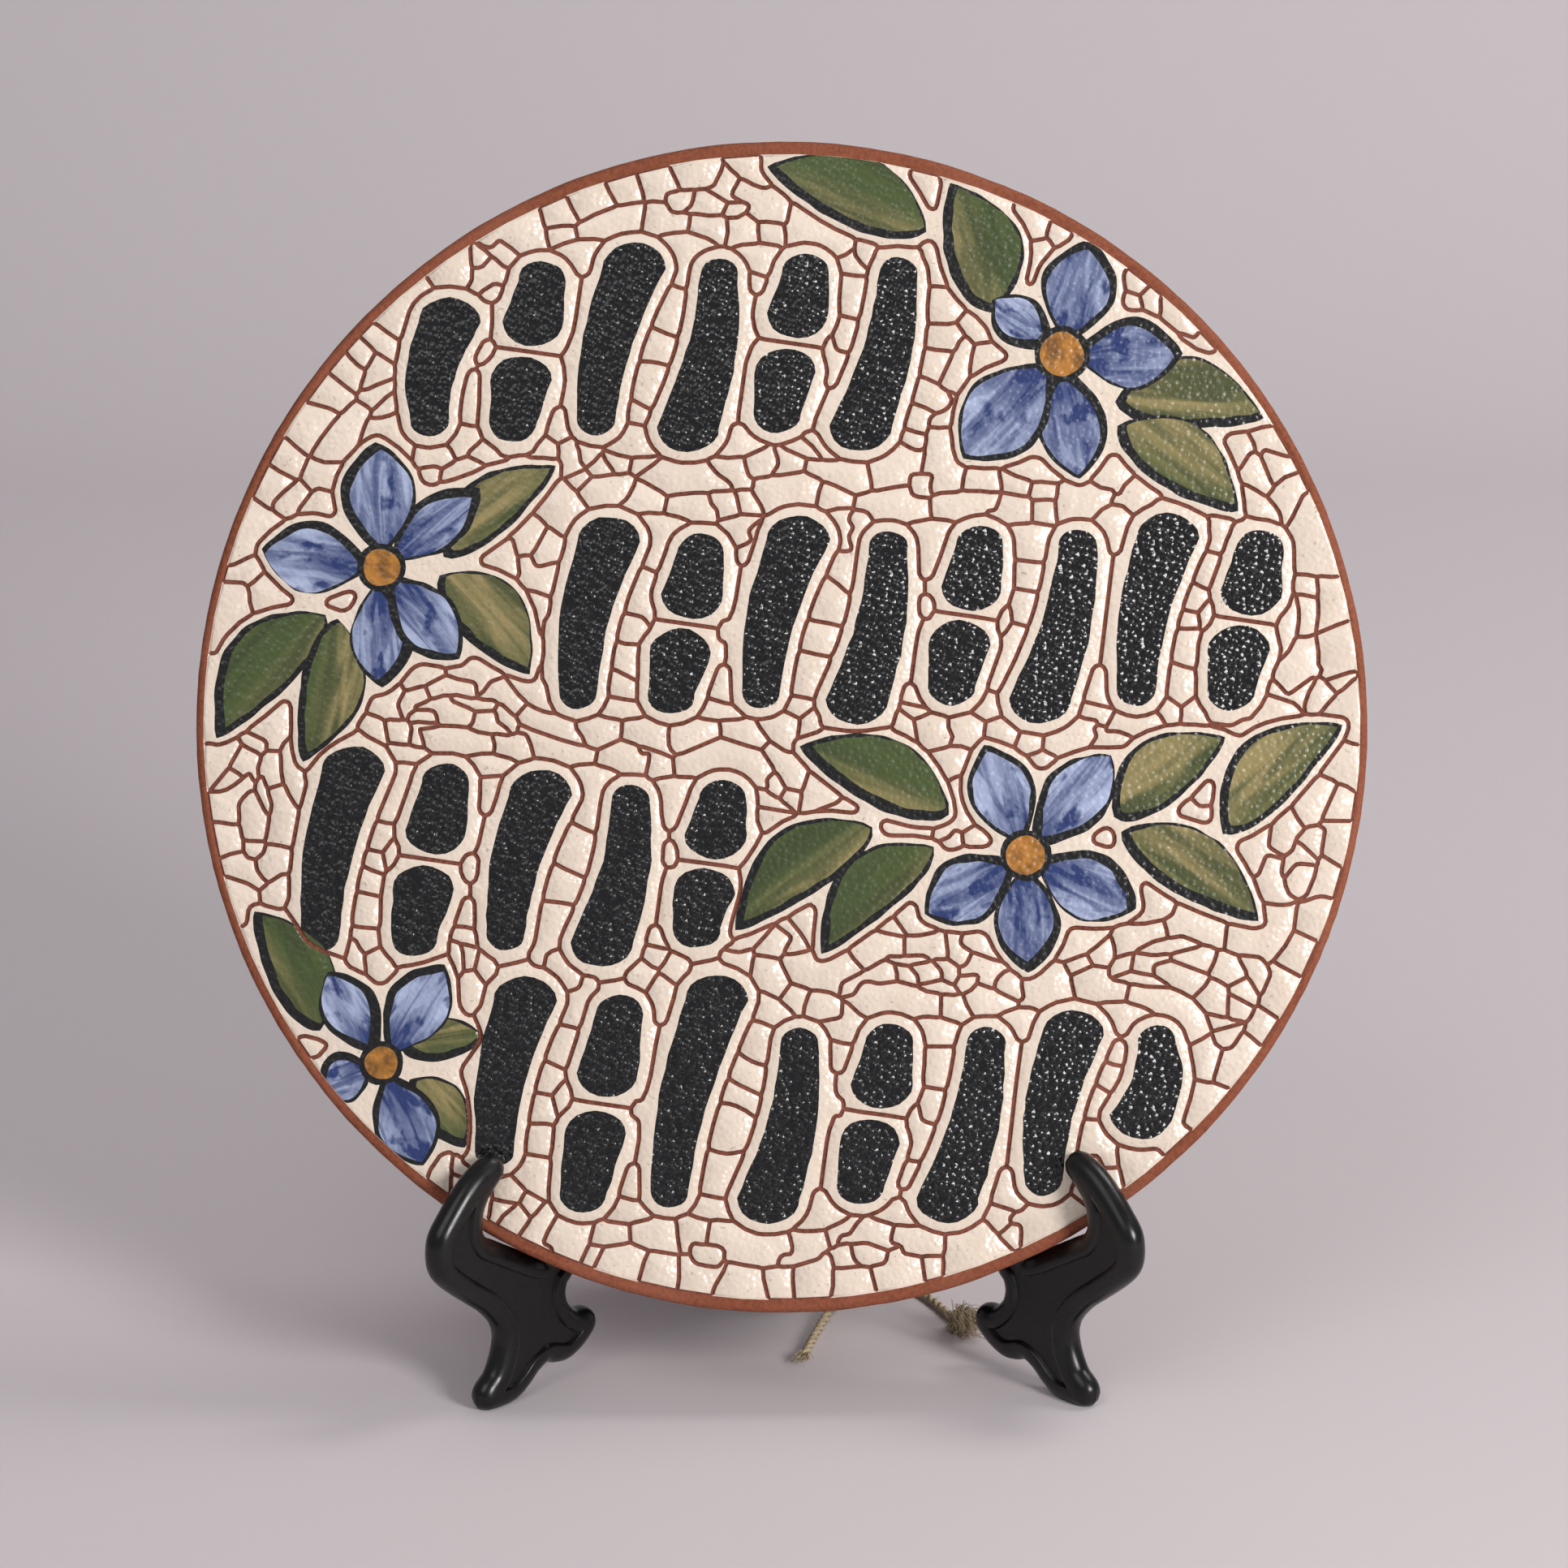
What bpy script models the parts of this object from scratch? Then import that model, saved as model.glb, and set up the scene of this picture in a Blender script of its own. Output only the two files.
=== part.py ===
"""Round terracotta plaque with a mosaic-look face, standing on a black two-leg plate stand.

The plaque is one fired slab: its glazed face is cut by thin grooves into small stones that run in rows
round painted flowers, leaves and rows of bold brush marks. It leans back in the hooks of two moulded legs,
which cross and lock at the back. A natural twine for hanging is threaded through a lug on the back.

Metres, +Z up, the face looks towards -Y, and the origin is below the middle of the object, on the floor.
"""
import math
import random

import bmesh
import bpy
import numpy as np
from mathutils import Matrix, Vector, geometry

# Plaque
PLAQUE_RADIUS = 0.100
PLAQUE_THICKNESS = 0.008
PLAQUE_LEAN = math.radians(16.0)
PLAQUE_BOTTOM = 0.0179
EDGE_ROUND = 0.0012
BARE_RIM = 0.00185
RIM_SWING = 0.25
RIM_DROP = 0.0002

# Grooves and stones of the face
GROOVE_WIDTH = 0.0008
GROOVE_DEPTH = 0.0005
STONE_ROW = 0.0064
STONE_LENGTH = 0.0088
SMALLEST_STONE = 2.7e-5
MARK_SLIVER = 0.0020
FLORAL_SLIVER = 0.0013
MARK_BORDER = 0.0019
FLORAL_BORDER = 0.0012
SMOOTHING_ROUNDS = 10
GROOVE_TOLERANCE = 0.00080
RING_TOLERANCE = 0.00028
GRID_CELLS = 440
SEED = 7

# Lug on the back of the plaque, and its bore
LUG_LENGTH = 0.012
LUG_WIDTH = 0.008
LUG_HEIGHT = 0.0065
LUG_ABOVE_CENTRE = 0.062
LUG_ROUND = 0.0018
LUG_SINK = 0.002
BORE_RADIUS = 0.0019
BORE_ABOVE_BACK = 0.0031

# Legs of the stand
LEG_THICKNESS = 0.005
LEG_SPLAY = math.radians(42.0)
FOOT_SPREAD = 0.0517
FOOT_FORWARD = 0.0255
FOOT_FLAT_CUT = 0.0004
HOOK_RISE = 0.0122
SEAT_GAP = 0.0003
ARCH_HEIGHT = 0.043
BACKREST_HEIGHT = 0.109
SPINE_HEIGHT = 0.102
TAIL_LENGTH = 0.0092
REAR_FOOT_LENGTH = 0.0103
RIM_BEAD = 0.0009
FIELD_DEPTH = 0.0007
LEG_TOLERANCE = 0.00040
LAP_HEIGHT = 0.055
LAP_GAP = 0.0003

# Twine
TWINE_DIAMETER = 0.0016

# Flowers of the face: the middle, then each petal as direction in degrees, length and width.
# All are shares of the plaque's radius, as the leaves and marks below are.
FLOWERS = (
    ((0.481, 0.633), 0.048, ((75, 0.200, 0.130), (142, 0.150, 0.090), (0, 0.205, 0.125),
                             (-82, 0.215, 0.120), (-134, 0.245, 0.145))),
    ((-0.681, 0.276), 0.042, ((92, 0.215, 0.130), (171, 0.205, 0.125), (-90, 0.205, 0.110),
                              (38, 0.215, 0.095), (-50, 0.205, 0.110))),
    ((0.414, -0.221), 0.044, ((110, 0.200, 0.115), (49, 0.225, 0.115), (-26, 0.210, 0.120),
                              (-150, 0.200, 0.120), (-89, 0.200, 0.115))),
    ((-0.686, -0.568), 0.038, ((120, 0.180, 0.100), (57, 0.200, 0.110), (-160, 0.115, 0.090),
                               (-68, 0.190, 0.115))),
)
# Leaves: foot, tip, width and bow to the left of the way from foot to tip.
LEAVES = (
    ((0.251, 0.842), (-0.019, 0.955), 0.125, -0.02),
    ((0.363, 0.703), (0.293, 0.925), 0.135, -0.02),
    ((0.571, 0.550), (0.825, 0.522), 0.125, 0.03),
    ((0.575, 0.510), (0.779, 0.363), 0.120, 0.02),
    ((-0.575, 0.293), (-0.383, 0.446), 0.100, 0.02),
    ((-0.582, 0.262), (-0.429, 0.092), 0.120, 0.02),
    ((-0.776, 0.196), (-0.963, -0.013), 0.125, -0.03),
    ((-0.756, 0.189), (-0.818, -0.054), 0.110, 0.02),
    ((0.283, -0.151), (0.029, -0.033), 0.120, -0.02),
    ((0.154, -0.172), (-0.082, -0.346), 0.120, -0.03),
    ((0.258, -0.207), (0.064, -0.388), 0.110, -0.03),
    ((0.564, -0.158), (0.756, -0.022), 0.115, 0.02),
    ((0.578, -0.182), (0.811, -0.336), 0.115, 0.02),
    ((0.751, -0.186), (0.955, -0.001), 0.120, 0.03),
    ((-0.790, -0.513), (-0.900, -0.308), 0.115, -0.02),
    ((-0.651, -0.547), (-0.506, -0.526), 0.075, 0.01),
    ((-0.638, -0.596), (-0.544, -0.714), 0.090, 0.01),
)
# Rows of bold brush marks: left end, right end, bottom, top, how many, how many of them are tall, and
# the height of the others as a share of it.
MARK_ROWS = (
    (-0.655, 0.245, 0.484, 0.818, 6, 6, 1.00),
    (-0.400, 0.870, 0.018, 0.352, 8, 8, 1.00),
    (-0.840, -0.045, -0.392, -0.036, 5, 2, 0.88),
    (-0.545, 0.700, -0.832, -0.430, 8, 3, 0.84),
)
MARK_WIDTH = 0.086
MARK_SLANT = 0.22
MARK_REACH = 0.935
SHORT_MARK = 0.24

# The front of a leg, as the line half a thickness inside its outline, clockwise from the hook's tip.
# Hook: shares of the hook's rise, from the point where the plaque's front edge sits.
HOOK_FRONT = ((0.01, 1.00), (-0.20, 0.92), (-0.39, 0.80), (-0.585, 0.63), (-0.79, 0.42), (-0.94, 0.24),
              (-0.985, 0.06))
HOOK_BACK = ((-0.42, 0.11), (-0.43, 0.28), (-0.40, 0.50), (-0.275, 0.73), (-0.085, 0.91))
# Waist, toe and scroll: the way back from the toe, and the height as a share of the seat's height.
WAIST_AND_TOE = ((-0.0096, 0.949), (-0.0086, 0.893), (-0.0061, 0.819), (-0.0027, 0.732), (0.0012, 0.631),
                 (0.0043, 0.511), (0.0054, 0.395), (0.0047, 0.275), (0.0029, 0.159), (0.0006, 0.094))
TOE_END = 0.0052
CROTCH_AND_SCROLL = ((0.0080, 0.110), (0.0106, 0.175), (0.0139, 0.217), (0.0171, 0.189), (0.0191, 0.185),
                     (0.0215, 0.217), (0.0237, 0.272), (0.0236, 0.301), (0.0207, 0.314), (0.0176, 0.411),
                     (0.0166, 0.518), (0.0173, 0.612), (0.0193, 0.696))


def face_to_shares(length):
    """A length on the face, in metres, as a share of the plaque's radius."""
    return length / PLAQUE_RADIUS


def bowed_blade(foot, tip, width, bow, fullness, samples):
    """Outline of a leaf or petal: two arcs of a pointed blade on a bowed spine, counter-clockwise."""
    foot = np.array(foot)
    tip = np.array(tip)
    along = tip - foot
    across = np.array((-along[1], along[0])) / np.linalg.norm(along)
    t = np.linspace(0.0, 1.0, samples)
    spine = foot + along * t[:, None] + across * (bow * np.sin(math.pi * t))[:, None]
    half = 0.5 * width * np.sin(math.pi * t ** fullness) ** 0.8
    right = spine - across * half[:, None]
    left = spine + across * half[:, None]
    return np.concatenate([right, left[-2:0:-1]])


def brush_mark(centre, height, width, slant, bend, heavy_end, samples):
    """Outline of one bold brush mark: a slanted, slightly bent bar with round ends, one end fuller."""
    t = np.linspace(0.0, 1.0, samples)
    rise = (t - 0.5) * (height - 0.8 * width)
    lean = slant * rise + bend * np.sin(math.pi * t)
    half = 0.5 * width * (1.0 + heavy_end * (t - 0.5))
    right = np.stack([centre[0] + lean + half, centre[1] + rise], 1)
    left = np.stack([centre[0] + lean - half, centre[1] + rise], 1)
    cap = np.linspace(0.0, math.pi, 7)[1:-1]
    top_mid = 0.5 * (right[-1] + left[-1])
    low_mid = 0.5 * (right[0] + left[0])
    top = top_mid + np.stack([half[-1] * np.cos(cap), 0.8 * half[-1] * np.sin(cap)], 1)
    low = low_mid - np.stack([half[0] * np.cos(cap), 0.8 * half[0] * np.sin(cap)], 1)
    return np.concatenate([right, top, left[::-1], low])


def floral_outlines(samples=13):
    """The petals, flower middles and leaves of the face, in shares of the radius."""
    shapes = []
    for foot, tip, width, bow in LEAVES:
        shapes.append(bowed_blade(foot, tip, width, bow, 0.85, samples))
    for middle, middle_radius, petals in FLOWERS:
        for degrees, length, width in petals:
            way = np.array((math.cos(math.radians(degrees)), math.sin(math.radians(degrees))))
            foot = np.array(middle) + 0.4 * middle_radius * way
            shapes.append(bowed_blade(foot, np.array(middle) + length * way, width, 0.0, 1.15, samples))
        turn = np.linspace(0.0, 2.0 * math.pi, 13)[:-1]
        shapes.append(np.array(middle) + middle_radius * np.stack([np.cos(turn), np.sin(turn)], 1))
    return shapes


def within_rim(x):
    """How high a mark may reach at a place across the face before it comes too near the rim."""
    return math.sqrt(MARK_REACH ** 2 - (abs(x) + 0.5 * MARK_WIDTH) ** 2)


def mark_outlines(samples=9):
    """The rows of brush marks, in shares of the radius. Each third place holds two short marks."""
    shapes = []
    for left, right, low, high, count, tall, share in MARK_ROWS:
        step = (right - left) / count
        for i in range(count):
            slant = MARK_SLANT * (1.15 if i % 3 == 2 else 0.95)
            middle = left + (i + 0.5) * step
            lean = 0.5 * slant * (high - low)
            top = min(low + (high - low) * (1.0 if i < tall else share) * (0.97 if i % 2 else 1.0),
                      within_rim(middle + lean))
            floor = max(low + 0.006 * (-1) ** i, -within_rim(middle - lean))
            height = top - floor
            if i % 3 == 1 and height > SHORT_MARK:
                for place in (0.24, 0.76):
                    centre = (middle + slant * (place - 0.5) * height, floor + place * height)
                    shapes.append(brush_mark(centre, 0.44 * height, 1.08 * MARK_WIDTH, slant, 0.0,
                                             0.5 - place, samples))
            else:
                bend = 0.014 if i % 2 else -0.014
                centre = (middle, floor + 0.5 * height)
                shapes.append(brush_mark(centre, height, MARK_WIDTH, slant, bend, 0.5 * (-1) ** i, samples))
    return shapes


class Groups:
    """The two outlines nearest to each point of a grid: how far, which ones, and how far along them."""

    def __init__(self, grid_x, grid_y):
        self.x = grid_x
        self.y = grid_y
        self.gap = np.full((2, *grid_x.shape), np.inf)
        self.owner = np.full((2, *grid_x.shape), -1)
        self.along = np.zeros((2, *grid_x.shape))

    def keep_nearer(self, gap, owner, along, window=(slice(None), slice(None))):
        """Take in an outline's distances, as the nearest or the second nearest."""
        first = (0, *window)
        second = (1, *window)
        nearest = gap < self.gap[first]
        next_nearest = gap < self.gap[second]
        for kept, new in ((self.gap, gap), (self.owner, owner), (self.along, along)):
            kept[second] = np.where(nearest, kept[first], np.where(next_nearest, new, kept[second]))
            kept[first] = np.where(nearest, new, kept[first])

    def add_outline(self, outline, owner, border, reach=0.26):
        """Take in one closed outline, with its border as part of it."""
        low = outline.min(axis=0) - reach
        high = outline.max(axis=0) + reach
        columns = np.nonzero((self.x[0] > low[0]) & (self.x[0] < high[0]))[0]
        rows = np.nonzero((self.y[:, 0] > low[1]) & (self.y[:, 0] < high[1]))[0]
        window = (slice(rows[0], rows[-1] + 1), slice(columns[0], columns[-1] + 1))
        x = self.x[window]
        y = self.y[window]
        gap, along = outline_distance(outline, x, y)
        gap = np.where(inside_outline(outline, x, y), -gap, gap) - border
        self.keep_nearer(gap, owner, along, window)


def rim_share(x, y):
    """How far out the glaze reaches: the bare rim is wider at the top and bottom."""
    angle = np.arctan2(y, x)
    return 1.0 - face_to_shares(BARE_RIM) * (1.0 - RIM_SWING * np.cos(2.0 * angle))


def outline_distance(outline, x, y):
    """How far each point is from a closed outline, and the way along the outline to the nearest place."""
    least = np.full(x.shape, np.inf)
    along = np.zeros(x.shape)
    gone = 0.0
    for a, b in zip(outline, np.roll(outline, -1, axis=0)):
        way = b - a
        size = max(float(way @ way), 1e-12)
        share = np.clip(((x - a[0]) * way[0] + (y - a[1]) * way[1]) / size, 0.0, 1.0)
        away = (x - a[0] - share * way[0]) ** 2 + (y - a[1] - share * way[1]) ** 2
        nearer = away < least
        least = np.where(nearer, away, least)
        along = np.where(nearer, gone + share * math.sqrt(size), along)
        gone += math.sqrt(size)
    return np.sqrt(least), along


def inside_outline(outline, x, y):
    """Which points of a grid lie inside a closed outline."""
    inside = np.zeros(x.shape, bool)
    low = outline.min(axis=0)
    high = outline.max(axis=0)
    boxed = (x >= low[0]) & (x <= high[0]) & (y >= low[1]) & (y <= high[1])
    px = x[boxed]
    py = y[boxed]
    odd = np.zeros(px.shape, bool)
    for (ax, ay), (bx, by) in zip(outline, np.roll(outline, -1, axis=0)):
        if ay != by:
            spans = (ay > py) != (by > py)
            odd ^= spans & (px < (bx - ax) * (py - ay) / (by - ay) + ax)
    inside[boxed] = odd
    return inside


def waves(x, y, length, rng):
    """A smooth random field between about -1 and 1."""
    total = np.zeros(np.shape(x))
    for _ in range(6):
        angle = rng.uniform(0.0, 2.0 * math.pi)
        pace = 2.0 * math.pi / (length * rng.uniform(0.7, 1.5))
        total += np.sin(pace * (x * math.cos(angle) + y * math.sin(angle)) + rng.uniform(0.0, 6.3))
    return total / 3.0


FLORAL = -1
OUTSIDE = -2
FIRST_MARK = -10


def stone_labels():
    """The face as a grid of labels: one number for each stone, each mark, all florals and the outside.

    Stones lie in rows round each figure. Where two figures come near, the rows meet in a band that
    is one shared row or one row for each.
    """
    rng = random.Random(SEED)
    centre = (np.arange(GRID_CELLS) + 0.5) / GRID_CELLS * 2.04 - 1.02
    x, y = np.meshgrid(centre, centre)
    radius = np.hypot(x, y)
    rim = rim_share(x, y)
    groups = Groups(x, y)
    owners = 0
    for outline in mark_outlines():
        groups.add_outline(outline, owners, face_to_shares(MARK_BORDER))
        owners += 1
    marks = owners
    for outline in floral_outlines():
        groups.add_outline(outline, owners, face_to_shares(FLORAL_BORDER))
        owners += 1
    figure = groups.gap[0] < 0.0
    groups.keep_nearer(np.abs(rim - radius), owners, np.mod(np.arctan2(y, x), 2.0 * math.pi))

    length = face_to_shares(STONE_LENGTH)
    high = face_to_shares(STONE_ROW) * (1.0 + 0.10 * waves(x, y, 0.28, rng))
    wide = np.clip(groups.gap.sum(0) / high, 0.0, 60.0)
    side_rows = np.maximum(0, np.floor(0.5 * (wide - 0.6))).astype(int)
    k = np.minimum(np.maximum(groups.gap[0] / high, 0.0).astype(int), side_rows)
    shared = (k == side_rows) & (wide - 2 * side_rows < 1.5)
    ends = np.sort(groups.owner, axis=0)
    code = np.where(shared, 100000 + ends[0] * 300 + ends[1], groups.owner[0] * 40 + k)
    along = np.where(shared & (groups.owner[0] != ends[0]), groups.along[1], groups.along[0])
    along = along + 0.010 * waves(x, y, 0.13, rng)
    labels = np.zeros(x.shape, int)
    for one in np.unique(code):
        here = code == one
        cuts = [along[here].min() - rng.uniform(0.0, 1.0) * length]
        while cuts[-1] < along[here].max():
            cuts.append(cuts[-1] + length * rng.uniform(0.75, 1.25))
        labels[here] = one * 1000 + np.searchsorted(cuts, along[here])
    nearest = np.where(groups.owner[0] == owners, groups.owner[1], groups.owner[0])
    narrow = np.where(nearest < marks, face_to_shares(MARK_SLIVER), face_to_shares(FLORAL_SLIVER))
    drawn = figure | (groups.gap.sum(0) < narrow)
    labels[drawn] = np.where(nearest[drawn] < marks, FIRST_MARK - nearest[drawn], FLORAL)
    labels[radius >= rim] = OUTSIDE
    labels = most_common(most_common(labels))
    return merge_crumbs(split_apart(labels), (2.04 * PLAQUE_RADIUS / GRID_CELLS) ** 2)


def most_common(labels):
    """Each place of the grid takes the label that it and its eight neighbours have most of."""
    near = np.stack([np.roll(labels, (r, c), (0, 1)) for r, c in
                     ((0, 0), (0, 1), (1, 0), (0, -1), (-1, 0), (1, 1), (1, -1), (-1, 1), (-1, -1))])
    votes = np.stack([(near == one).sum(0) for one in near])
    return np.take_along_axis(near, votes.argmax(0)[None], 0)[0]


def split_apart(labels):
    """New labels, one for each connected patch of a stone's label. The others stay."""
    numbers = np.arange(labels.size).reshape(labels.shape)
    special = labels < 0
    while True:
        before = numbers
        for axis in (0, 1):
            for shift in (1, -1):
                moved = np.roll(numbers, shift, axis)
                same = np.roll(labels, shift, axis) == labels
                numbers = np.where(same & (moved < numbers) & ~special, moved, numbers)
        if np.array_equal(before, numbers):
            break
    _, numbers = np.unique(numbers, return_inverse=True)
    return np.where(special, labels, numbers.reshape(labels.shape))


def borders_between(labels):
    """For each patch, how much border it shares with each of its neighbours."""
    count = int(labels.max()) + 1
    codes = []
    for axis in (0, 1):
        a = labels.take(range(labels.shape[axis] - 1), axis).ravel()
        b = labels.take(range(1, labels.shape[axis]), axis).ravel()
        differ = (a != b) & (a >= 0) & (b >= 0)
        codes.append(a[differ] * count + b[differ])
        codes.append(b[differ] * count + a[differ])
    found, shared = np.unique(np.concatenate(codes), return_counts=True)
    borders = {}
    for code, size in zip(found.tolist(), shared.tolist()):
        borders.setdefault(code // count, []).append((size, code % count))
    return borders


def merge_crumbs(labels, cell_area):
    """Join each patch that is too small for a stone to what it shares most border with."""
    while True:
        areas = np.bincount(labels[labels >= 0]) * cell_area
        small = [int(i) for i in np.argsort(areas) if 0.0 < areas[i] < SMALLEST_STONE]
        borders = borders_between(labels)
        joined = set()
        table = np.arange(len(areas))
        for i in small:
            options = [(size, j) for size, j in borders.get(i, []) if j not in joined]
            if i in joined:
                continue
            if options:
                other = max(options)[1]
                table[i] = other
                joined.update((i, other))
            elif i not in borders and figure_round(labels, i) < 0:
                table[i] = figure_round(labels, i)
                joined.add(i)
        if not joined:
            break
        labels = np.where(labels >= 0, table[np.maximum(labels, 0)], labels)
    return labels


def figure_round(labels, patch):
    """The figure that a patch with no stone beside it lies in."""
    rows, columns = np.nonzero(labels == patch)
    beside = np.concatenate([labels[rows + r, columns + c] for r, c in ((0, 1), (1, 0), (0, -1), (-1, 0))])
    beside = beside[(beside < 0) & (beside != OUTSIDE)]
    return int(np.bincount(-beside).argmax()) * -1 if len(beside) else patch


class Network:
    """The lines between stones: shared points, and chains of them from one junction to the next."""

    def __init__(self, labels):
        self.steps = {}
        size = labels.shape[0]
        for r, c in zip(*np.nonzero(labels[:, :-1] != labels[:, 1:])):
            self.add_step((r, c + 1), (r + 1, c + 1), labels[r, c], labels[r, c + 1])
        for r, c in zip(*np.nonzero(labels[:-1, :] != labels[1:, :])):
            self.add_step((r + 1, c + 1), (r + 1, c), labels[r, c], labels[r + 1, c])
        cell = 2.04 / size
        corners = sorted(self.steps)
        self.index = {corner: i for i, corner in enumerate(corners)}
        self.points = np.array([(c * cell - 1.02, r * cell - 1.02) for r, c in corners])
        self.chains = self.trace()
        self.smooth()

    def add_step(self, start, end, left, right):
        """One step along a border, with the labels on its left and right."""
        start = (int(start[0]), int(start[1]))
        end = (int(end[0]), int(end[1]))
        self.steps.setdefault(start, []).append((end, int(left), int(right)))
        self.steps.setdefault(end, []).append((start, int(right), int(left)))

    def trace(self):
        """Follow the steps from junction to junction, and round the loops that have none."""
        chains = []
        used = set()
        junctions = [c for c in sorted(self.steps) if len(self.steps[c]) != 2]
        for start in junctions + sorted(self.steps):
            for end, left, right in self.steps[start]:
                if (start, end) in used:
                    continue
                path = [start, end]
                used.update(((start, end), (end, start)))
                while len(self.steps[path[-1]]) == 2 and path[-1] != start:
                    onward = [s[0] for s in self.steps[path[-1]] if s[0] != path[-2]]
                    step = onward[0] if onward else path[-2]
                    used.update(((path[-1], step), (step, path[-1])))
                    path.append(step)
                chains.append(([self.index[p] for p in path], left, right))
        return chains

    def smooth(self):
        """Ease the steps of the grid into hand-drawn lines; the rim's line stays as drawn."""
        near = [[] for _ in self.points]
        on_rim = np.zeros(len(self.points), bool)
        for path, left, right in self.chains:
            for a, b in zip(path, path[1:]):
                near[a].append(b)
                near[b].append(a)
            if OUTSIDE in (left, right):
                on_rim[path] = True
        most = max(len(n) for n in near)
        table = np.array([n + [i] * (most - len(n)) for i, n in enumerate(near)])
        weight = np.array([[1.0] * len(n) + [0.0] * (most - len(n)) for n in near])
        for _ in range(SMOOTHING_ROUNDS):
            mean = (self.points[table] * weight[:, :, None]).sum(1) / weight.sum(1)[:, None]
            self.points = 0.4 * self.points + 0.6 * mean
            here = self.points[on_rim]
            self.points[on_rim] *= (rim_share(here[:, 0], here[:, 1]) / np.linalg.norm(here, axis=1))[:, None]

    def thin(self, tolerance):
        """Leave out the points of each chain that lie within a tolerance of the straight way."""
        self.chains = [(self.thinned(path, tolerance), left, right) for path, left, right in self.chains]

    def thinned(self, path, tolerance):
        if path[0] == path[-1] and len(path) > 3:
            half = len(path) // 2
            return self.thinned(path[:half + 1], tolerance)[:-1] + self.thinned(path[half:], tolerance)
        a = self.points[path[0]]
        b = self.points[path[-1]]
        way = b - a
        rest = self.points[path[1:-1]] - a
        if not len(rest):
            return path
        share = np.clip(rest @ way / max(way @ way, 1e-12), 0.0, 1.0)
        away = np.linalg.norm(rest - share[:, None] * way, axis=1)
        far = int(away.argmax())
        if away[far] <= tolerance:
            return [path[0], path[-1]]
        middle = far + 1
        return self.thinned(path[:middle + 1], tolerance)[:-1] + self.thinned(path[middle:], tolerance)

    def segments(self):
        """All straight pieces of the network, as their starts and ways."""
        pairs = [(a, b) for path, _, _ in self.chains for a, b in zip(path, path[1:])]
        a, b = np.array(pairs).T
        return self.points[a], self.points[b] - self.points[a]

    def loops(self, label):
        """The borders of a label's patches, as lists of points that keep the patch on their left."""
        ways = {}
        for path, left, right in self.chains:
            if left == label:
                ways.setdefault(path[0], []).append(path)
            if right == label:
                ways.setdefault(path[-1], []).append(path[::-1])
        found = []
        while ways:
            start = next(iter(ways))
            loop = []
            here = start
            while here in ways:
                path = ways[here].pop()
                if not ways[here]:
                    del ways[here]
                loop += path[:-1]
                here = path[-1]
                if here == start:
                    break
            if len(loop) >= 3:
                found.append(loop)
        return found


SHARP_SPIKE = 3.05


def inset_loop(points, distance):
    """A closed loop moved to its left by a distance, round its outer corners and without any folds."""
    moved = []
    for before, here, after in zip(np.roll(points, 1, axis=0), points, np.roll(points, -1, axis=0)):
        came = math.atan2(here[1] - before[1], here[0] - before[0])
        turn = math.atan2(after[1] - here[1], after[0] - here[0]) - came
        turn = (turn + math.pi) % (2.0 * math.pi) - math.pi
        if turn > SHARP_SPIKE:
            turn -= 2.0 * math.pi
        if turn < -1.0:
            count = math.ceil(-turn / 1.1)
            ways = [(came + 0.5 * math.pi + turn * k / count, distance) for k in range(count + 1)]
        else:
            ways = [(came + 0.5 * math.pi + 0.5 * turn, distance / max(math.cos(0.5 * turn), 0.3))]
        moved.extend((here[0] + reach * math.cos(way), here[1] + reach * math.sin(way)) for way, reach in ways)
    moved = np.array(moved)
    away, _ = outline_distance(points, moved[:, 0], moved[:, 1])
    return moved[away > 0.92 * distance]


def thinned_loop(points, tolerance):
    """A closed line without the points that lie within a tolerance of the straight way past them."""
    kept = list(range(len(points)))
    changed = True
    while changed and len(kept) > 3:
        changed = False
        k = 0
        while k < len(kept) and len(kept) > 3:
            a = kept[k - 1]
            b = kept[(k + 1) % len(kept)]
            way = points[b] - points[a]
            skipped = np.arange(a + 1, b if b > a else b + len(points)) % len(points)
            rest = points[skipped] - points[a]
            off = np.abs(rest[:, 0] * way[1] - rest[:, 1] * way[0]) / max(np.linalg.norm(way), 1e-9)
            if off.max() < tolerance and len(skipped) < 12:
                del kept[k]
                changed = True
            k += 1
    return points[kept]


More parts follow.
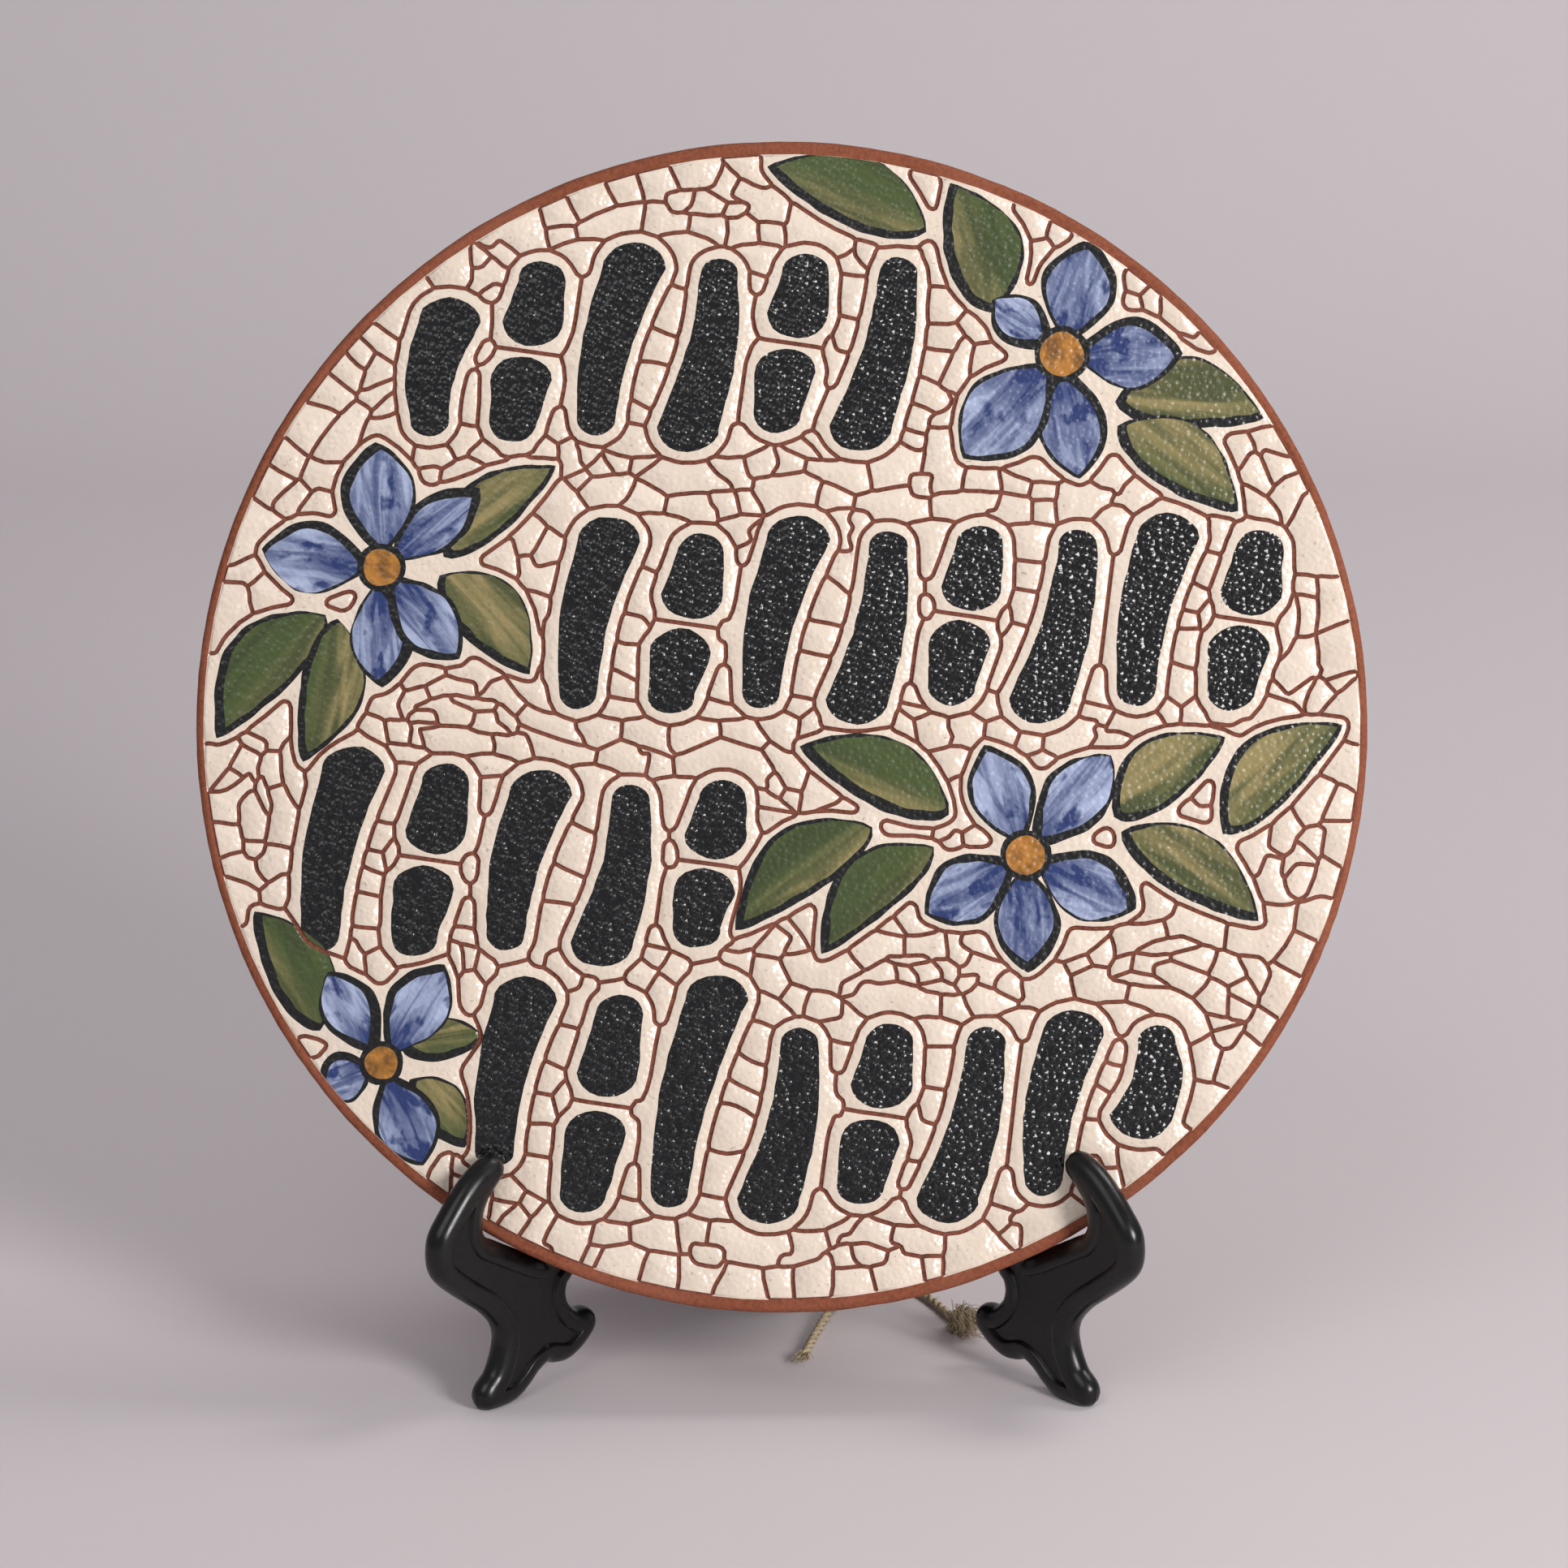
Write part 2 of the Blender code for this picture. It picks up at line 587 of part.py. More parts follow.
def face_surface():
    """The carved face: points in metres, with +Z out of the face, and triangles."""
    labels = stone_labels()
    network = Network(labels)
    network.thin(face_to_shares(GROOVE_TOLERANCE))
    half_groove = face_to_shares(0.5 * GROOVE_WIDTH)
    used = sorted({i for path, _, _ in network.chains for i in path})
    slot = {i: n for n, i in enumerate(used)}
    points = [Vector(network.points[i]) for i in used]
    on_rim = {i for path, left, right in network.chains if OUTSIDE in (left, right) for i in path}
    heights = [-RIM_DROP if i in on_rim else -GROOVE_DEPTH for i in used]
    edges = []
    for path, _, _ in network.chains:
        edges.extend((slot[a], slot[b]) for a, b in zip(path, path[1:]))

    for label in sorted(set(labels.ravel().tolist()) - {OUTSIDE}):
        for loop in network.loops(label):
            top = inset_loop(network.points[loop], half_groove)
            if len(top) < 3:
                continue
            top = thinned_loop(top, face_to_shares(RING_TOLERANCE))
            first = len(points)
            points.extend(Vector(p) for p in top)
            heights.extend([0.0] * len(top))
            edges.extend((first + k, first + (k + 1) % len(top)) for k in range(len(top)))

    rim_points = 64
    edge_radius = 1.0 - face_to_shares(EDGE_ROUND)
    turn = [2.0 * math.pi * k / rim_points for k in range(rim_points)]
    first = len(points)
    points.extend(Vector((edge_radius * math.cos(a), edge_radius * math.sin(a))) for a in turn)
    heights.extend([-RIM_DROP] * rim_points)
    edges.extend((first + k, first + (k + 1) % rim_points) for k in range(rim_points))

    flat, _, faces, origins, _, _ = geometry.delaunay_2d_cdt(points, edges, [], 0, 1e-6)
    starts, ways = network.segments()
    placed = []
    for p, sources in zip(flat, origins):
        if sources and (heights[sources[0]] < 0.0 or sources[0] >= first):
            height = heights[sources[0]]
        else:
            reach = np.array((p.x, p.y)) - starts
            share = np.clip((reach * ways).sum(1) / (ways * ways).sum(1), 0.0, 1.0)
            away = np.linalg.norm(reach - share[:, None] * ways, axis=1).min()
            height = -GROOVE_DEPTH * max(0.0, 1.0 - away / (0.9 * half_groove))
        placed.append((p.x * PLAQUE_RADIUS, p.y * PLAQUE_RADIUS, height))
    return placed, faces


def clear_scene():
    for old in list(bpy.data.objects):
        bpy.data.objects.remove(old, do_unlink=True)


def collection(name):
    made = bpy.data.collections.new(name)
    bpy.context.scene.collection.children.link(made)
    return made


def material(name, colour, roughness):
    made = bpy.data.materials.new(name)
    made.use_nodes = True
    shader = made.node_tree.nodes["Principled BSDF"]
    shader.inputs["Base Color"].default_value = (*colour, 1.0)
    shader.inputs["Roughness"].default_value = roughness
    shader.inputs["Metallic"].default_value = 0.0
    return made


def put(mesh, name, home, finish=None):
    made = bpy.data.objects.new(name, mesh)
    home.objects.link(made)
    if finish:
        mesh.materials.append(finish)
    return made


def as_guide(made):
    """Marks a cutter, which the build leaves out."""
    made.hide_render = True
    made.display_type = 'WIRE'
    return made


def boolean(target, tool, operation):
    step = target.modifiers.new(tool.name, 'BOOLEAN')
    step.operation = operation
    step.object = tool
    step.solver = 'EXACT'
    return step


def box_mesh(name, low, high):
    shape = bmesh.new()
    bmesh.ops.create_cube(shape, size=1.0)
    for v in shape.verts:
        v.co = Vector(low[k] + (high[k] - low[k]) * (v.co[k] + 0.5) for k in range(3))
    mesh = bpy.data.meshes.new(name)
    shape.to_mesh(mesh)
    shape.free()
    return mesh


def plaque_centre():
    """The middle of the face. The face's middle is at y = 0 until the whole is centred."""
    return Vector((0.0, CENTRING, PLAQUE_BOTTOM + PLAQUE_RADIUS * math.cos(PLAQUE_LEAN)))


def make_plaque(parts, cutters, finish):
    """One slab: the carved face on top, a rounded edge, a plain back and the pierced lug."""
    points, faces = face_surface()
    shape = bmesh.new()
    verts = [shape.verts.new(p) for p in points]
    for face in faces:
        shape.faces.new([verts[i] for i in face])
    bmesh.ops.recalc_face_normals(shape, faces=shape.faces)
    if sum(f.normal.z for f in shape.faces) < 0.0:
        bmesh.ops.reverse_faces(shape, faces=shape.faces)
    levels = ((0.0, -EDGE_ROUND), (0.0, EDGE_ROUND - PLAQUE_THICKNESS), (EDGE_ROUND, -PLAQUE_THICKNESS))
    border = [e for e in shape.edges if e.is_boundary]
    for inward, height in levels:
        grown = bmesh.ops.extrude_edge_only(shape, edges=border)["geom"]
        for v in (g for g in grown if isinstance(g, bmesh.types.BMVert)):
            side = Vector((v.co.x, v.co.y, 0.0)).normalized()
            v.co = side * (PLAQUE_RADIUS - inward)
            v.co.z = height
        border = [g for g in grown if isinstance(g, bmesh.types.BMEdge) and g.is_boundary]
    bmesh.ops.contextual_create(shape, geom=border)
    bmesh.ops.recalc_face_normals(shape, faces=shape.faces)
    mesh = bpy.data.meshes.new("plaque")
    shape.to_mesh(mesh)
    shape.free()
    plaque = put(mesh, "plaque", parts, finish)

    back = -PLAQUE_THICKNESS
    low = (-0.5 * LUG_LENGTH, LUG_ABOVE_CENTRE - 0.5 * LUG_WIDTH, back - LUG_HEIGHT)
    high = (0.5 * LUG_LENGTH, LUG_ABOVE_CENTRE + 0.5 * LUG_WIDTH, back + LUG_SINK)
    lug = as_guide(put(box_mesh("lug", low, high), "lug", cutters))
    rounding = lug.modifiers.new("rounding", 'BEVEL')
    rounding.width = LUG_ROUND
    rounding.segments = 3
    boolean(plaque, lug, 'UNION')

    shape = bmesh.new()
    bmesh.ops.create_cone(shape, cap_ends=True, segments=14, radius1=BORE_RADIUS, radius2=BORE_RADIUS,
                          depth=2.0 * LUG_LENGTH)
    bmesh.ops.rotate(shape, verts=shape.verts, matrix=Matrix.Rotation(math.radians(90.0), 3, 'Y'))
    bmesh.ops.translate(shape, verts=shape.verts, vec=(0.0, LUG_ABOVE_CENTRE, back - BORE_ABOVE_BACK))
    mesh = bpy.data.meshes.new("bore")
    shape.to_mesh(mesh)
    shape.free()
    bore = as_guide(put(mesh, "bore", cutters))
    boolean(plaque, bore, 'DIFFERENCE')

    for placed in (plaque, lug, bore):
        placed.location = plaque_centre()
        placed.rotation_euler = (math.radians(90.0) - PLAQUE_LEAN, 0.0, 0.0)
    return plaque


def half_leg():
    return 0.5 * LEG_THICKNESS


def seat_height(s, clearance):
    """Height of the line, s behind the toe in a leg's plane, that is a clearance below the plaque's rim."""
    x = FOOT_SPREAD - s * math.sin(LEG_SPLAY)
    y = s * math.cos(LEG_SPLAY) - FOOT_FORWARD
    below = -math.sqrt(max((PLAQUE_RADIUS + clearance) ** 2 - x ** 2, 0.0))
    centre = PLAQUE_BOTTOM + PLAQUE_RADIUS * math.cos(PLAQUE_LEAN)
    return centre + (below - y * math.sin(PLAQUE_LEAN)) / math.cos(PLAQUE_LEAN)


def behind_face(s, z):
    """How far a point of a leg's plane lies behind the plaque's face."""
    y = s * math.cos(LEG_SPLAY) - FOOT_FORWARD
    centre = PLAQUE_BOTTOM + PLAQUE_RADIUS * math.cos(PLAQUE_LEAN)
    return y * math.cos(PLAQUE_LEAN) - (z - centre) * math.sin(PLAQUE_LEAN)


def rest_line(z, clearance):
    """The way back, at a height, to the line that is a clearance behind the plaque's back."""
    centre = PLAQUE_BOTTOM + PLAQUE_RADIUS * math.cos(PLAQUE_LEAN)
    y = (PLAQUE_THICKNESS + clearance) / math.cos(PLAQUE_LEAN) + (z - centre) * math.tan(PLAQUE_LEAN)
    return (y + FOOT_FORWARD) / math.cos(LEG_SPLAY)


def where(test, low, high):
    """The place between low and high where a rising test passes zero."""
    for _ in range(40):
        middle = 0.5 * (low + high)
        if test(middle) < 0.0:
            low = middle
        else:
            high = middle
    return 0.5 * (low + high)


def crossing():
    """The way back from the toe to where the two legs cross."""
    return FOOT_SPREAD / math.sin(LEG_SPLAY)


def smooth_closed(points, per_span):
    """A smooth closed line through points, with some more between each pair."""
    p = np.array(points)
    out = []
    for i in range(len(p)):
        a, b, c, d = (p[(i + k) % len(p)] for k in (-1, 0, 1, 2))
        for t in np.arange(per_span) / per_span:
            out.append(0.5 * (2 * b + (c - a) * t + (2 * a - 5 * b + 4 * c - d) * t ** 2
                              + (3 * b - a - 3 * c + d) * t ** 3))
    return np.array(out)


def leg_core(per_span=4):
    """The line half a thickness inside a leg's outline, as way back from the toe and height."""
    half = half_leg()
    clearance = half + SEAT_GAP
    front = where(lambda s: behind_face(s, seat_height(s, 0.0)), -0.02, 0.02)
    seat = seat_height(front, 0.0)
    foot = half - FOOT_FLAT_CUT
    cross = crossing()
    tail = cross + TAIL_LENGTH
    heel = cross - REAR_FOOT_LENGTH
    line = [(front + s * HOOK_RISE, seat + z * HOOK_RISE) for s, z in HOOK_FRONT]
    line += [(s, z * seat) for s, z in WAIST_AND_TOE]
    line += [(0.0008, foot), (TOE_END, foot)]
    line += [(s, z * seat) for s, z in CROTCH_AND_SCROLL]
    arch_foot = (0.0193, 0.696 * seat)
    middle = 0.5 * (arch_foot[0] + heel)
    reach = 0.5 * (heel - arch_foot[0])
    for degrees in (150, 120, 90, 60, 32):
        turn = math.radians(degrees)
        base = arch_foot[1] if degrees > 90 else 0.5 * arch_foot[1]
        line.append((middle + reach * math.cos(turn), base + (ARCH_HEIGHT - base) * math.sin(turn)))
    line += [(heel, 0.35 * arch_foot[1]), (heel, foot + 0.0018), (heel + 0.0012, foot)]
    line += [(0.5 * (heel + tail), foot), (tail - 0.0015, foot), (tail, foot + 0.003)]
    line += [(tail - 0.0006, 0.30 * SPINE_HEIGHT), (tail - 0.0006, 0.75 * SPINE_HEIGHT)]
    line += [(tail - 0.0012, SPINE_HEIGHT - 0.005), (tail - 0.0050, SPINE_HEIGHT)]
    rest_top = rest_line(BACKREST_HEIGHT, clearance)
    line += [(cross - 0.0060, SPINE_HEIGHT - 0.0030), (0.5 * (rest_top + cross), BACKREST_HEIGHT - 0.0120)]
    line += [(rest_top + 0.0090, BACKREST_HEIGHT - 0.0035), (rest_top + 0.0040, BACKREST_HEIGHT)]
    corner = where(lambda s: behind_face(s, seat_height(s, clearance)) - PLAQUE_THICKNESS - clearance,
                   front, front + 0.04)
    corner_height = seat_height(corner, clearance)
    line += [(rest_line(z, clearance), z) for z in
             np.linspace(BACKREST_HEIGHT - 0.004, corner_height + 0.0045, 7)]
    line += [(corner + 0.0002, corner_height + 0.0008)]
    seat_start = front - 0.0035
    line += [(s, seat_height(s, clearance)) for s in np.linspace(corner - 0.0035, seat_start, 5)]
    line += [(front + s * HOOK_RISE, seat + z * HOOK_RISE) for s, z in HOOK_BACK]
    return thinned_loop(smooth_closed(line, per_span), LEG_TOLERANCE)


def filled_outline(name, loop, half_depth, bevel, home):
    """A flat outline as a mesh: filled, as deep as asked, with its edges rounded by a bevel."""
    curve = bpy.data.curves.new(name, 'CURVE')
    curve.dimensions = '2D'
    curve.fill_mode = 'BOTH'
    curve.extrude = half_depth
    curve.bevel_depth = bevel
    curve.bevel_resolution = 1
    spline = curve.splines.new('POLY')
    spline.points.add(len(loop) - 1)
    for point, (s, z) in zip(spline.points, loop):
        point.co = (s, z, 0.0, 1.0)
    spline.use_cyclic_u = True
    drawn = bpy.data.objects.new(name + "_outline", curve)
    home.objects.link(drawn)
    mesh = bpy.data.meshes.new_from_object(drawn.evaluated_get(bpy.context.evaluated_depsgraph_get()))
    bpy.data.objects.remove(drawn, do_unlink=True)
    bpy.data.curves.remove(curve)
    shape = bmesh.new()
    shape.from_mesh(mesh)
    bmesh.ops.remove_doubles(shape, verts=shape.verts, dist=1e-6)
    bmesh.ops.recalc_face_normals(shape, faces=shape.faces)
    shape.to_mesh(mesh)
    shape.free()
    mesh.name = name
    return mesh


def make_leg(side, parts, cutters, finish):
    """A leg, -1 on the left and 1 on the right, in the upright plane that runs back and inwards."""
    name = "stand_leg_left" if side < 0 else "stand_leg_right"
    core = leg_core()
    leg = put(filled_outline(name, core, 0.0, half_leg(), parts), name, parts, finish)
    heading = math.radians(90.0) + side * LEG_SPLAY
    toe = Vector((side * FOOT_SPREAD, CENTRING - FOOT_FORWARD, 0.0))
    leg.rotation_euler = (math.radians(90.0), 0.0, heading)
    leg.location = toe

    area = 0.5 * float(np.sum(core[:, 0] * np.roll(core[:, 1], -1) - np.roll(core[:, 0], -1) * core[:, 1]))
    inward = core if area > 0.0 else core[::-1]
    field = inset_loop(inward, RIM_BEAD)
    for face in (-1, 1):
        cutter = filled_outline(f"{name}_field", field, FIELD_DEPTH, 0.0, cutters)
        made = as_guide(put(cutter, f"{name}_field_{'back' if face < 0 else 'front'}", cutters))
        made.rotation_euler = leg.rotation_euler
        across = Vector((math.sin(heading), -math.cos(heading), 0.0))
        made.location = toe + across * face * half_leg()
        boolean(leg, made, 'DIFFERENCE')

    shape = bmesh.new()
    bmesh.ops.create_cone(shape, cap_ends=True, segments=120, radius1=PLAQUE_RADIUS + SEAT_GAP,
                          radius2=PLAQUE_RADIUS + SEAT_GAP, depth=PLAQUE_THICKNESS + 2.0 * SEAT_GAP)
    bmesh.ops.translate(shape, verts=shape.verts, vec=(0.0, 0.0, -0.5 * PLAQUE_THICKNESS))
    mesh = bpy.data.meshes.new(f"{name}_seat")
    shape.to_mesh(mesh)
    shape.free()
    seat = as_guide(put(mesh, f"{name}_seat", cutters))
    seat.rotation_euler = (math.radians(90.0) - PLAQUE_LEAN, 0.0, 0.0)
    seat.location = plaque_centre()
    boolean(leg, seat, 'DIFFERENCE')

    other = math.radians(90.0) - side * LEG_SPLAY
    half_lap = half_leg() + LAP_GAP
    low, high = (LAP_HEIGHT, 2.0 * BACKREST_HEIGHT) if side < 0 else (-0.01, LAP_HEIGHT + LAP_GAP)
    lap = as_guide(put(box_mesh(f"{name}_lap", (-0.03, -half_lap, low), (0.03, half_lap, high)),
                       f"{name}_lap", cutters))
    lap.rotation_euler = (0.0, 0.0, other)
    lap.location = (0.0, CENTRING - FOOT_FORWARD + crossing() * math.cos(LEG_SPLAY), 0.0)
    boolean(leg, lap, 'DIFFERENCE')

    floor = as_guide(put(box_mesh(f"{name}_floor", (-0.2, -0.2, -0.02), (0.2, 0.2, 0.0)),
                         f"{name}_floor", cutters))
    boolean(leg, floor, 'DIFFERENCE')
    return leg


def twine_route():
    """The twine from its left frayed end, up and through the lug, and down to its right frayed end."""
    bore_y = LUG_ABOVE_CENTRE * math.sin(PLAQUE_LEAN) \
        + (PLAQUE_THICKNESS + BORE_ABOVE_BACK) * math.cos(PLAQUE_LEAN)
    bore_z = PLAQUE_BOTTOM + PLAQUE_RADIUS * math.cos(PLAQUE_LEAN) + LUG_ABOVE_CENTRE * math.cos(PLAQUE_LEAN) \
        - (PLAQUE_THICKNESS + BORE_ABOVE_BACK) * math.sin(PLAQUE_LEAN)
    lay = 0.5 * TWINE_DIAMETER + 0.0001
    left = [(0.0034, -0.0046, lay), (0.0050, 0.0030, lay), (0.0068, 0.0110, lay), (0.0088, 0.0175, lay + 0.0005),
            (0.0118, 0.0225, 0.0030), (0.0140, 0.0275, 0.0090), (0.0142, 0.0318, 0.0220),
            (0.0136, 0.0336, 0.0500), (0.0132, 0.0340, 0.0800), (0.0118, 0.0345, 0.1100),
            (0.0072, 0.0350, 0.1350), (-0.0020, 0.0352, bore_z - 0.0160), (-0.0092, 0.0330, bore_z - 0.0070)]
    through = [(-0.0112, bore_y + 0.0006, bore_z - 0.0008), (-0.0068, bore_y, bore_z), (0.0, bore_y, bore_z),
               (0.0068, bore_y, bore_z), (0.0112, bore_y + 0.0004, bore_z - 0.0030)]
    right = [(0.0140, 0.0304, bore_z - 0.0120), (0.0158, 0.0316, 0.1450), (0.0172, 0.0322, 0.1100),
             (0.0178, 0.0324, 0.0700), (0.0184, 0.0322, 0.0350), (0.0194, 0.0312, 0.0130),
             (0.0214, 0.0288, 0.0035), (0.0242, 0.0250, lay + 0.0003), (0.0272, 0.0190, lay),
             (0.0296, 0.0130, lay), (0.0312, 0.0085, lay)]
    return [Vector((x, y + CENTRING, z)) for x, y, z in left + through + right]


def smooth_open(points, per_span):
    """A smooth open line through points."""
    p = [2.0 * points[0] - points[1], *points, 2.0 * points[-1] - points[-2]]
    out = []
    for i in range(1, len(p) - 2):
        a, b, c, d = p[i - 1:i + 3]
        for k in range(per_span):
            t = k / per_span
            out.append(0.5 * (2 * b + (c - a) * t + (2 * a - 5 * b + 4 * c - d) * t ** 2
                              + (3 * b - a - 3 * c + d) * t ** 3))
    out.append(points[-1])
    return out


def make_twine(parts, finish):
    curve = bpy.data.curves.new("hanging_twine", 'CURVE')
    curve.dimensions = '3D'
    curve.bevel_depth = 0.5 * TWINE_DIAMETER
    curve.bevel_resolution = 1
    curve.use_fill_caps = True
    line = smooth_open(twine_route(), 2)
    spline = curve.splines.new('POLY')
    spline.points.add(len(line) - 1)
    for point, place in zip(spline.points, line):
        point.co = (*place, 1.0)
    curve.materials.append(finish)
    twine = bpy.data.objects.new("hanging_twine", curve)
    parts.objects.link(twine)
    return twine


def centring():
    """How far everything moves along Y so that the object's box is centred on the origin."""
    core = leg_core()
    frontmost = core[:, 0].min() * math.cos(LEG_SPLAY) - FOOT_FORWARD - half_leg()
    rearmost = core[:, 0].max() * math.cos(LEG_SPLAY) - FOOT_FORWARD + half_leg()
    top = PLAQUE_RADIUS * math.sin(PLAQUE_LEAN) + PLAQUE_THICKNESS * math.cos(PLAQUE_LEAN)
    return -0.5 * (frontmost + max(rearmost, top))


CENTRING = centring()


def main():
    clear_scene()
    parts = collection("mosaic_plaque_on_stand")
    cutters = collection("cutters")
    terracotta = material("terracotta", (0.42, 0.17, 0.08), 0.75)
    plastic = material("black_plastic", (0.012, 0.012, 0.013), 0.32)
    jute = material("natural_twine", (0.42, 0.35, 0.25), 0.95)
    make_plaque(parts, cutters, terracotta)
    for side in (-1, 1):
        make_leg(side, parts, cutters, plastic)
    make_twine(parts, jute)


main()
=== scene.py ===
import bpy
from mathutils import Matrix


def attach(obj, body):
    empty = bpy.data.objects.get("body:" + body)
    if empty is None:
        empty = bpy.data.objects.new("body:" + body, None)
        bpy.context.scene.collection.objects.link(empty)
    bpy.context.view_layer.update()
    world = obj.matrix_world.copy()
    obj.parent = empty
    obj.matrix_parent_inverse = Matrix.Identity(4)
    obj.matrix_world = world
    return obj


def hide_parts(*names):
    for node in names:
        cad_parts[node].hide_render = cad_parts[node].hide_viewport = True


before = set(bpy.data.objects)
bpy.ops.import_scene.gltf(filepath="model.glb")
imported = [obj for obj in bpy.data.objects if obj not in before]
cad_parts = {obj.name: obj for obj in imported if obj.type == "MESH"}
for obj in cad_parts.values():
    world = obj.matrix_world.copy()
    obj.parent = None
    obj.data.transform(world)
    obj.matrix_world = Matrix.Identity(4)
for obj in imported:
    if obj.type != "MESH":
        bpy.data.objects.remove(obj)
"""A round terracotta plaque with a mosaic-look glazed face, on a black moulded plate stand, with its twine.

Each operator makes one piece round the solid that it stands for. The sizes and places written here are
in millimetres, apart from the stage's and those of the panel, which are in metres.
"""
import math
import random

import bmesh
import bpy
import numpy as np
from bpy.props import FloatProperty, FloatVectorProperty, IntProperty, PointerProperty
from mathutils import Matrix, Vector, geometry, kdtree

bl_info = {
    "name": "Mosaic plaque on a plate stand",
    "version": (1, 0, 0),
    "blender": (4, 5, 0),
    "location": "View3D > Sidebar > Plaque",
    "description": "Makes a glazed mosaic-look plaque, its stand and its hanging twine",
    "category": "Object",
}

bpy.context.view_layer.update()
MM = 0.001

# Plaque
RADIUS = 100.0
THICKNESS = 8.0
LEAN = math.radians(16.0)
PLAQUE_BOTTOM = 17.9
EDGE_ROUND = 1.2
BARE_RIM = 1.85
RIM_SWING = 0.25
RIM_DROP = 0.2
RIM_POINTS = 320
BACK_RINGS = 26
EDGE_STEPS = 5
SIDE_STEPS = 3
EDGE_GRAIN = 0.045
EDGE_UNEVENNESS = 0.05
EDGE_SINK = 0.08
BACK_ROUGHNESS = 0.22

GRAIN_WAVE = 2.2
EDGE_WAVE = 14.0

# Figures of the face
LEAF_FULLNESS = 0.85
PETAL_FULLNESS = 1.15
MIDDLE_POINTS = 24
MARK_CAP = 0.8
MIDDLE_BAND = 0.85
BAND_SHARES = (0.70, 0.95)
LEAF_LIGHT_SIDE = (0.75, 0.65)
LIGHT_SHIFT = 0.72

# Stones of the face
SMALLEST_STONE = 9.0
MARK_SLIVER = 2.0
FLORAL_SLIVER = 1.3
MARK_BORDER = 1.9
FLORAL_BORDER = 1.2
GRID_CELLS = 800
SHARP_SPIKE = 3.05
SMOOTHING_ROUNDS = 14
SEED = 7
FEWEST_ROWS_GAP = 0.6
SHARED_ROW_GAP = 1.5
MOST_ROWS = 60.0
GROOVE_RINGS = (0.5, 0.92, 1.2)
GROOVE_SPACING = 0.12
GLAZE_SWELL = 0.035
LINE_TOLERANCE = 0.06
RING_TOLERANCE = 0.03
LONGEST_TIP = 6.0
ROW_UNEVENNESS = 0.10
ROW_WAVE = 28.0
CUT_WAVE = 13.0
STONE_LENGTHS = (0.75, 1.25)
MARK_WOBBLE = 0.14
PAINT_WOBBLE = 0.12
WOBBLE_WAVE = 5.0
RIM_MARGIN = 0.06
DEPTH_WAVE = 6.0
SWELL_WAVE = 24.0
GROOVE_SIDES = (0.45, 1.1)
GROOVE_SHOWN = 0.90
KEPT_CLEARANCE = 0.93
ROUNDED_TURN = 1.0
ROUNDED_STEP = 0.8
LEAST_COSINE = 0.12
MOST_SKIPPED = 9

# Lug
LUG_LENGTH = 12.0
LUG_WIDTH = 8.0
LUG_HEIGHT = 6.5
LUG_ABOVE_CENTRE = 62.0
BORE_RADIUS = 1.9
BORE_ABOVE_BACK = 3.1
LUG_ROUND = 1.8
LUG_ROOT = 1.5

# Legs
LEG_THICKNESS = 5.0
LEG_SPLAY = math.radians(42.0)
FOOT_SPREAD = 51.7
FOOT_FORWARD = 25.5
FOOT_FLAT_CUT = 0.4
HOOK_RISE = 12.2
SEAT_GAP = 0.3
ARCH_HEIGHT = 43.0
BACKREST_HEIGHT = 109.0
SPINE_HEIGHT = 102.0
TAIL_LENGTH = 9.2
REAR_FOOT_LENGTH = 10.3
LAP_HEIGHT = 55.0
LAP_GAP = 0.3
BEAD_RINGS = (1.0, 0.97, 0.90, 0.79, 0.64, 0.45, 0.22)
FIELD_RINGS = (0.12, 0.3, 0.5, 0.75, 1.6)
FIELD_SLOPE = 0.55

# Twine
TWINE_DIAMETER = 1.6
FLOOR_GAP = 0.1
LOOSE_FIBRE_LENGTH = 2.2
LOOSE_FIBRE_THICKNESS = 0.035
FRAYED_FIBRE_RADII = (0.09, 0.04)
LOWEST_FIBRE = 0.14
LOWEST_LOOSE_FIBRE = 0.05
PLY_SPACING = 0.42
PLY_SIDES = 8
PLY_WAVE = 3.0
FIBRE_SIDES = 4
FIBRE_POINTS = 10

# Stage and camera, in metres, pixels and degrees
BACKDROP = 0.70
SWEEP = 0.35
SWEEP_STEPS = 16
FLOOR_FRONT = -1.2
FLOOR_HALF_WIDTH = 2.5
BACKDROP_TOP = 2.2
EYE_DISTANCE = 0.850
EYE_DROP = 0.0097
EYE_ASIDE = 0.0003
EYE_ROLL = -0.35
FOCAL_PIXELS = 6146.0
PICTURE_PIXELS = 1932.0
SENSOR_WIDTH = 36.0
NEAREST_SEEN = 0.05
PLAQUE_MIDDLE = (0.0, 0.0, 0.11)
BACKDROP_MIDDLE = (0.15, BACKDROP + 0.8 * SWEEP, 0.15)
LAMP_COLOUR = (1.0, 0.97, 0.945)
ROOM_COLOUR = (0.92, 0.95, 1.0, 1.0)
ROOM_STRENGTH = 0.30

# Finishes
PEBBLE_SCALE = 1000.0
PEBBLE_GRAIN_SCALE = 1500.0
PEBBLE_HEIGHT = 0.00034

